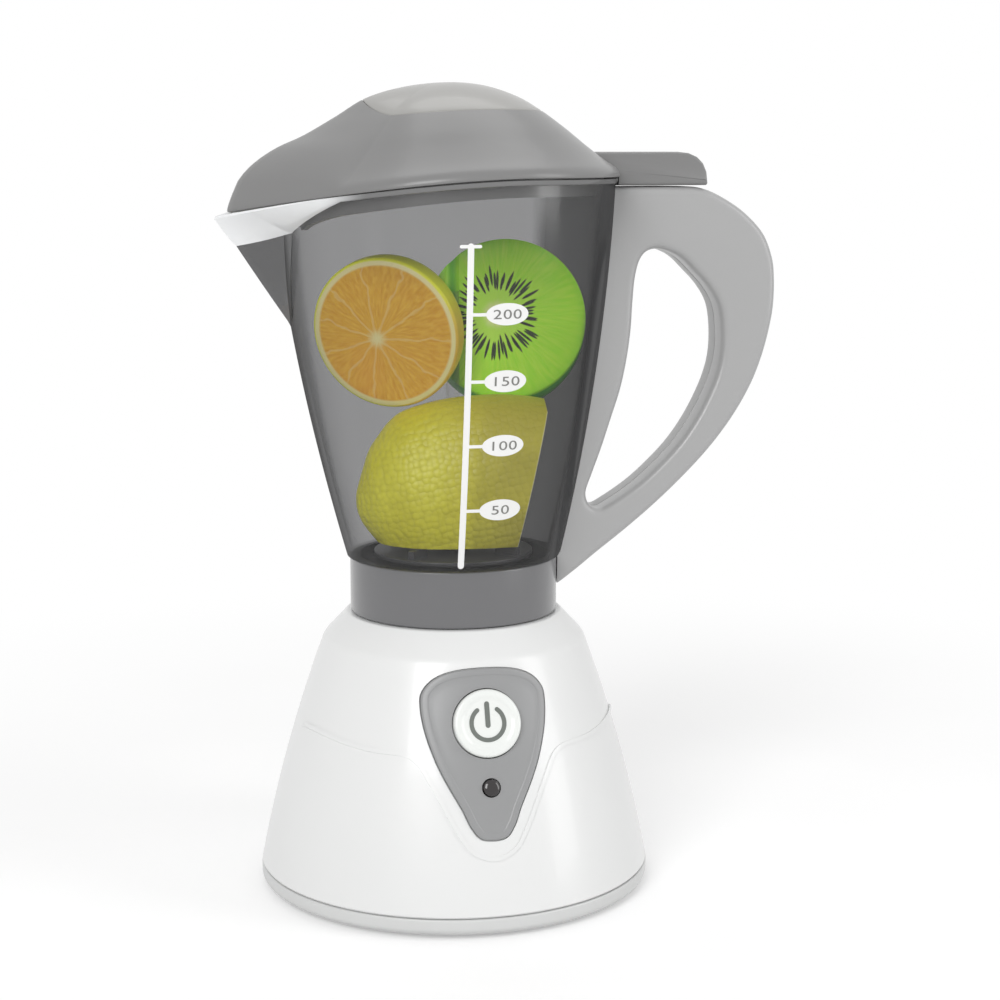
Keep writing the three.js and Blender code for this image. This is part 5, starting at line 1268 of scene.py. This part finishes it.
def slab_with_gap(outer, gap, levels):
    """A slab across Y with a gap through it, from (inset, y) levels."""
    points, faces, ends = [], [], []
    for loop, sign in ((outer, -1), (gap, 1)):
        first, count = len(points), len(loop)
        for inset, y in levels:
            points += [(x, y, z) for x, z in grown(loop, sign * inset)]
        last = len(points) - count
        for low in range(first, last, count):
            pairs = [(i, (i + 1) % count) for i in range(count)]
            faces += [(low + i, low + j, low + count + j, low + count + i) for i, j in pairs]
        ends.append((range(first, first + count), range(last, last + count)))
    for cap in zip(*ends):
        index = [i for part in cap for i in part]
        loops = [[Vector((points[i][0], points[i][2], 0)) for i in part] for part in cap]
        faces += [tuple(index[i] for i in triple) for triple in tessellate_polygon(loops)]
    return points, faces


def screw_drills():
    """Tools that cut the screws' holes and the seats of their heads."""
    tools = []
    for x, z in on_handle(HANDLE_SCREW_SHARES):
        for r, y0 in ((HANDLE_SCREW_HOLE_R, -HANDLE_T), (HANDLE_HEAD_R, HANDLE_HEAD_Y)):
            drill = turned([(0, y0), (r, y0), (r, HANDLE_T), (0, HANDLE_T)], SMALL_ROUND, False)
            tools.append(piece("drill", mapped(drill, lambda a, b, c: (x + a, c, z + b))))
    return tools


HANDLE_POINTS, HANDLE_GAP_POINTS = 230, 150


def make_handle():
    outer = anticlockwise(smooth_loop(on_handle(HANDLE_OUTER_SHARES), HANDLE_POINTS))
    gap = anticlockwise(smooth_loop(on_handle(HANDLE_GAP_SHARES), HANDLE_GAP_POINTS))
    seam, face = GAP / 2, HANDLE_T / 2
    levels = [
        *fillet((0, seam), (SEAM_ROUND, seam), (0, face), SEAM_ROUND, 3),
        *fillet((0, face), (0, seam), (HANDLE_ROUND, face), HANDLE_ROUND, 8),
    ]
    for side, name in ((-1, "handle_front"), (1, "handle_back")):
        made = piece(name + "_shell", slab_with_gap(outer, gap, [(inset, side * y) for inset, y in levels]))
        drills = screw_drills() if side > 0 else []
        carve(made, "DIFFERENCE", jug_form(GAP), piece("rib", rib_shape(JUG_WALL, GAP)), *drills)
        dress(made, "jug", "handle_plastic", name, sharp=38)


# Lid


def lid_radius(angle):
    return LID_ROUND_R + (LID_BEAK_REACH - LID_ROUND_R) * broad_share(angle) ** SPOUT_POINT


def lid_edge_z(angle):
    return LID_EDGE_Z - rim_fall(lid_radius(angle) * np.cos(angle))


def rise_curve(shares):
    """A dense smooth curve through (radius share, height share) points, level at the top."""
    table = np.array(shares)
    return smooth_curve([table[1] * (-1, 1), *table, 2 * table[-1] - table[-2]], 240).T


DOME_CURVE = rise_curve(DOME_SHARES)
BEAK_CURVE = rise_curve(BEAK_SHARES)


def lid_height(r, angle, drop=0.0):
    """The lid's height at a radius, a wall below its outer surface or on it."""
    share = r / (lid_radius(angle) - drop)
    beak = broad_share(angle) ** BEAK_WIDTH
    rise = np.interp(share, *DOME_CURVE) * (1 - beak) + np.interp(share, *BEAK_CURVE) * beak
    low = lid_edge_z(angle) + LID_EDGE_H
    return low + (LID_TOP_Z - low) * rise - drop


def make_lid():
    angle = around(ROUND) + math.pi / ROUND
    reach, edge = lid_radius(angle), lid_edge_z(angle)
    hollow = reach - LID_WALL

    def dome(r, drop=0.0, lower=0.0):
        return ring_at(r, angle, lid_height(r, angle, drop) - lower)

    outer = [dome(reach * s) for s in np.linspace(0, DOME_SHARE, LID_ROWS[0])[1:]]
    start = (reach * DOME_SHARE, lid_height(reach * DOME_SHARE, angle))
    corner = (reach, edge + LID_EDGE_H * 0.9)
    end = (reach, edge + LID_EDGE_ROUND)
    for t in np.linspace(0, 1, LID_ROWS[1])[1:]:
        r, z = ((1 - t) ** 2 * start[i] + 2 * t * (1 - t) * corner[i] + t * t * end[i] for i in (0, 1))
        outer.append(ring_at(r, angle, z))
    outer += [ring_at(reach - LID_EDGE_ROUND * BEND, angle, edge + LID_EDGE_ROUND * BEND),
              ring_at(reach - LID_EDGE_ROUND, angle, edge), ring_at(hollow, angle, edge)]
    inner = [dome(hollow * s, LID_WALL) for s in np.linspace(1, 0, LID_ROWS[2])[:-1]]
    made = piece("lid_dome", skin([[(0, 0, LID_TOP_Z)], *outer, *inner, [(0, 0, LID_TOP_Z - LID_WALL)]]))
    skirt_in = SKIRT_R - SKIRT_T
    skirt = [ring_at(SKIRT_R, angle, edge - SKIRT_H), dome(SKIRT_R, LID_WALL / 2),
             dome(skirt_in, LID_WALL / 2), ring_at(skirt_in, angle, edge - SKIRT_H)]
    carve(made, "UNION", piece("skirt", skin(skirt, True)), piece("tab", tab_shape()))
    under, cut_r, over = CROWN_T + GAP, CROWN_R + GAP, LID_TOP_Z + 2
    floor = [dome(cut_r * s, lower=under) for s in np.linspace(0, 1, 14)[1:]]
    recess = [[(0, 0, LID_TOP_Z - under)], *floor, ring_at(cut_r, angle, over), [(0, 0, over)]]
    carve(made, "DIFFERENCE", piece("recess", skin(recess)))
    dress(made, "lid", "lid_plastic", "lid", sharp=34)
    disc = [dome(r) for r in np.linspace(0, CROWN_R - CROWN_EDGE, CROWN_ROWS[0])[1:]]
    rim = lid_height(CROWN_R, angle)
    disc.append(ring_at(CROWN_R - CROWN_EDGE * BEND, angle, rim - CROWN_EDGE * 0.2))
    disc.append(ring_at(CROWN_R, angle, rim - CROWN_EDGE))
    back = [dome(r, lower=CROWN_T) for r in np.linspace(CROWN_R, 0, CROWN_ROWS[1])[:-1]]
    rings = [[(0, 0, LID_TOP_Z)], *disc, *back, [(0, 0, LID_TOP_Z - CROWN_T)]]
    dress(piece("lid_crown_disc", skin(rings)), "lid", "crown_plastic", "lid_crown", sharp=50)


def tab_shape():
    """The tail over the handle: its outline in X and Z, with rounds along both sides."""
    inside, clear, end = TAB_X
    low, high = TAB_Z
    loop = anticlockwise(np.array(rounded([
        (inside, high, 0), (inside, TAB_CLEAR_Z + TAB_SLOPE, 0), (clear, TAB_CLEAR_Z, 0), (clear, low, 0),
        (end, low, TAB_END_ROUND), (end, high, TAB_ROUND),
    ])))
    levels = fillet((0, -TAB_HALF_W), (TAB_EDGE, -TAB_HALF_W), (0, 0), TAB_EDGE)
    levels += [(inset, -y) for inset, y in reversed(levels)]
    middle_x, middle_z = (clear + end) / 2, (low + high) / 2
    rings = []
    for inset, y in levels:
        shorter, lower = 1 - inset / (end - clear), 1 - inset / (high - low) * TAB_NARROWING
        across = [x if x < clear + 1 else middle_x + (x - middle_x) * shorter for x, _ in loop]
        rings.append([(x, y, middle_z + (p[1] - middle_z) * lower) for x, p in zip(across, loop)])
    return skin(rings)


# Rotor and fruit


def make_rotor():
    top = ROTOR_Z + ROTOR_T
    hole = STEM_HOLE_R
    disc = piece("rotor_disc", turned(rounded([
        (hole, ROTOR_Z, 0), (ROTOR_R, ROTOR_Z, SLIM_EDGE), (ROTOR_R, top, EDGE),
        (HUB_R, top, HUB_FOOT_ROUND), (HUB_R, HUB_TOP, SOFT_EDGE), (hole, HUB_TOP, FINE_EDGE),
    ]), ROTOR_ROUND))
    fin = block(ROTOR_R - FIN_L, ROTOR_R - 1, -FIN_T / 2, FIN_T / 2, ROTOR_Z + 0.2, top + FIN_H)
    carve(disc, "UNION", *spread("fin", FIN_COUNT, math.pi / 4, fin))
    dress(disc, "rotor", "dark_plastic", "rotor")


def fruit_place(at, *turns):
    """Where a fruit lies: the turn that all of it shares, its place, and its own (angle, axis) turns."""
    place = Matrix.Rotation(FRUIT_TURN, 4, "Z") @ Matrix.Translation(Vector(at) * MM)
    for angle, axis in turns:
        place = place @ Matrix.Rotation(angle, 4, axis)
    return place


ORANGE_PLACE = fruit_place(ORANGE_AT, (ORANGE_TURN, "Z"), (ORANGE_TIP, "X"))
KIWI_PLACE = fruit_place(KIWI_AT)
LEMON_PLACE = fruit_place(LEMON_NOSE, (-LEMON_TILT, "Y"))


def slice_shape(profile):
    """Solid of revolution about the face's axis: (radius, depth behind the face) points."""
    return mapped(turned(profile, SLICE_ROUND, False), lambda x, y, z: (x, z, y))


def orange_shape(grow=0.0):
    r, t = ORANGE_R + grow, ORANGE_T + grow
    back = [(1, -2), (1, 0.6 - grow), (0.995, t * 0.45), (0.95, t * 0.8), (0.8, t), (0, t)]
    curve = smooth_curve([(r * share, depth) for share, depth in back], 18)
    face = [] if grow else [(r * 0.3, 0), (r * 0.6, 0), (r * 0.85, 0)]
    return slice_shape([(0, -grow), *face, (r - 0.6, -grow), *curve, (0, t)])


def kiwi_shape(grow=0.0):
    """The slice widens a little towards its back, and its back lies lower than its face."""
    r, t = KIWI_R + grow, KIWI_T
    front = [(share * r, -grow) for share in (0, 0.35, 0.7)]
    side = [(r - 0.5, -grow), (r - 0.15, 0.15), (r, 0.6), (r, t * 0.6), (r - 0.4, t * 0.85)]
    flat = slice_shape([*front, *side, (r - 1.6, t + grow), (0, t + grow)])
    return mapped(flat, lambda x, y, z: (x, y, z - KIWI_SHEAR * max(y, 0)))


def stem_tool():
    return piece("stem_hole", rod(STEM_HOLE_R, ROTOR_Z, LID_TOP_Z))


def make_slices():
    orange = piece("orange_half_cut", orange_shape(), ORANGE_PLACE)
    carve(orange, "DIFFERENCE", stem_tool())
    dress(orange, "rotor", "orange", "orange_half", look="orange_half", sharp=50)
    kiwi = piece("kiwi_slice_cut", kiwi_shape(), KIWI_PLACE)
    carve(kiwi, "DIFFERENCE", stem_tool(), piece("orange", orange_shape(GAP), ORANGE_PLACE))
    dress(kiwi, "rotor", "kiwi", "kiwi_slice", look="kiwi_slice", sharp=50)


LEMON_ROWS, LEMON_ROUND = 70, 120


def make_lemon():
    shares = [(-LEMON_SHARES[1][0], LEMON_SHARES[1][1]), *LEMON_SHARES, (0.6, 1)]
    rows = [[(0, 0, 0)]]
    for share, along in smooth_curve(shares, LEMON_ROWS)[1:] * (LEMON_R, LEMON_L):
        r = max(share, 0)
        rows.append([(along, r * LEMON_FLAT * math.cos(t), r * math.sin(t)) for t in around(LEMON_ROUND)])
    made = piece("lemon_half_cut", skin(rows), LEMON_PLACE)
    cut = fruit_place((LEMON_FACE_X, 0, LEMON_NOSE[2] + LEMON_R / 2), (LEMON_FACE_LEAN, "Y"))
    carve(
        made, "DIFFERENCE", piece("beyond", block(0, LEMON_L, -LEMON_L, LEMON_L, -LEMON_L, LEMON_L), cut),
        piece("below", rod(LEMON_L + ROTOR_R, 0, ROTOR_Z + ROTOR_T + FIN_H + GAP)), stem_tool(),
        piece("hub", rod(HUB_R + GAP, 0, HUB_TOP + GAP)), piece("orange", orange_shape(GAP), ORANGE_PLACE),
        piece("kiwi", kiwi_shape(GAP), KIWI_PLACE),
    )
    local = LEMON_PLACE.inverted() @ cut
    across = (local.to_3x3() @ Vector((1, 0, 0))).normalized()
    lemon_paint(local.translation.dot(across), tuple(across))
    dress(made, "rotor", "lemon", "lemon_half", look="lemon_half", sharp=50)


make_housing()
make_plate()
make_panel()
make_ridge()
make_button()
make_lens()
make_collar()
make_jug()
make_scale()
make_handle()
make_lid()
make_rotor()
make_slices()
make_lemon()

# The inner and smaller pieces keep the model's own shape, with a fine bevel and their material

BEVEL_W = 0.15
for row in frame["record"]["subparts"]:
    node = frame["nodes"][row["node"]]
    if node.hide_render:
        continue
    if not node.data.materials:
        node.data.materials.append(None)
    for k in range(len(node.data.materials)):
        node.data.materials[k] = LOOKS[row["material_slot"]]
    bevel = node.modifiers.new("edge", "BEVEL")
    bevel.width = BEVEL_W * MM
    bevel.segments = 2
    bevel.limit_method = "ANGLE"
    bevel.angle_limit = math.radians(50)


# Stage, light and camera

FLOOR_HALF = 3.0
WHITE_LEVEL = 1.0
ROOM_LEVEL = 0.5
FLOOR_GLOW = 0.3
FLOOR_FADE = (0.14, 0.42)  # how far from the middle the floor turns to plain white, in metres


def make_stage():
    """A pale floor that shows white, with the object's shadow, and a white room round it."""
    half = FLOOR_HALF / MM
    corners = [(-half, -half, 0), (half, -half, 0), (half, half, 0), (-half, half, 0)]
    floor = piece("studio_floor", (corners, [(0, 1, 2, 3)]))
    paint = Paint("studio_floor")
    spot = paint.place()
    tone = paint.mix(paint.step(paint.noise(spot, 9.0), 0.3, 0.7), grey(0.8), grey(0.82))
    matt = paint.node("BsdfDiffuse", ("Color", tone))
    glow, white = (paint.node("Emission", ("Color", grey(1)), ("Strength", level))
                   for level in (FLOOR_GLOW, WHITE_LEVEL))
    lit = paint.node("AddShader", (0, matt), (1, glow))
    x, y, _ = paint.split(spot)
    shown = paint.blend(paint.step(paint.length(x, y), *FLOOR_FADE), lit, white)
    seen = paint.math("MAXIMUM", paint.ray("Camera"), paint.ray("Glossy"))
    floor.data.materials.append(paint.done(paint.blend(seen, matt, shown)))
    room = Paint("studio_room", "World")
    back, light = (room.node("Background", ("Color", grey(1)), ("Strength", level))
                   for level in (WHITE_LEVEL, ROOM_LEVEL))
    seen = room.math("MAXIMUM", room.ray("Camera"), room.ray("Glossy"))
    seen = room.math("MAXIMUM", seen, room.ray("Transmission"))
    bpy.context.scene.world = room.done(room.blend(seen, light, back))


TARGET = Vector((0, 0, 0.112))


def aimed(name, data, at):
    """A lamp or a camera at a place, turned to the target."""
    made = placed(name, data)
    made.location = at
    made.rotation_euler = (TARGET - made.location).to_track_quat("-Z", "Y").to_euler()
    return made


def softbox(name, at, size, watts):
    lamp = bpy.data.lights.new(name, "AREA")
    lamp.shape = "RECTANGLE"
    lamp.size, lamp.size_y = size
    lamp.energy = watts
    aimed(name, lamp, at)


CAMERA_DISTANCE = 600  # from the jug's axis, level
CAMERA_TURN = math.radians(12)
CAMERA_Z = 213
CAMERA_LENS = 75.4


def make_camera():
    view = bpy.data.cameras.new("camera")
    view.lens = CAMERA_LENS
    left, front = (CAMERA_DISTANCE * MM * share for share in (math.sin(CAMERA_TURN), math.cos(CAMERA_TURN)))
    bpy.context.scene.camera = aimed("camera", view, (AXIS_X - left, -front, CAMERA_Z * MM))


make_stage()
softbox("key_light", (-0.62, -0.92, 0.68), (0.5, 0.7), 7.0)
softbox("fill_light", (0.95, -0.6, 0.45), (0.4, 0.9), 3.5)
softbox("top_light", (0.1, 0.35, 1.1), (0.8, 0.5), 1.7)
make_camera()
bpy.context.scene.view_settings.view_transform = "Standard"
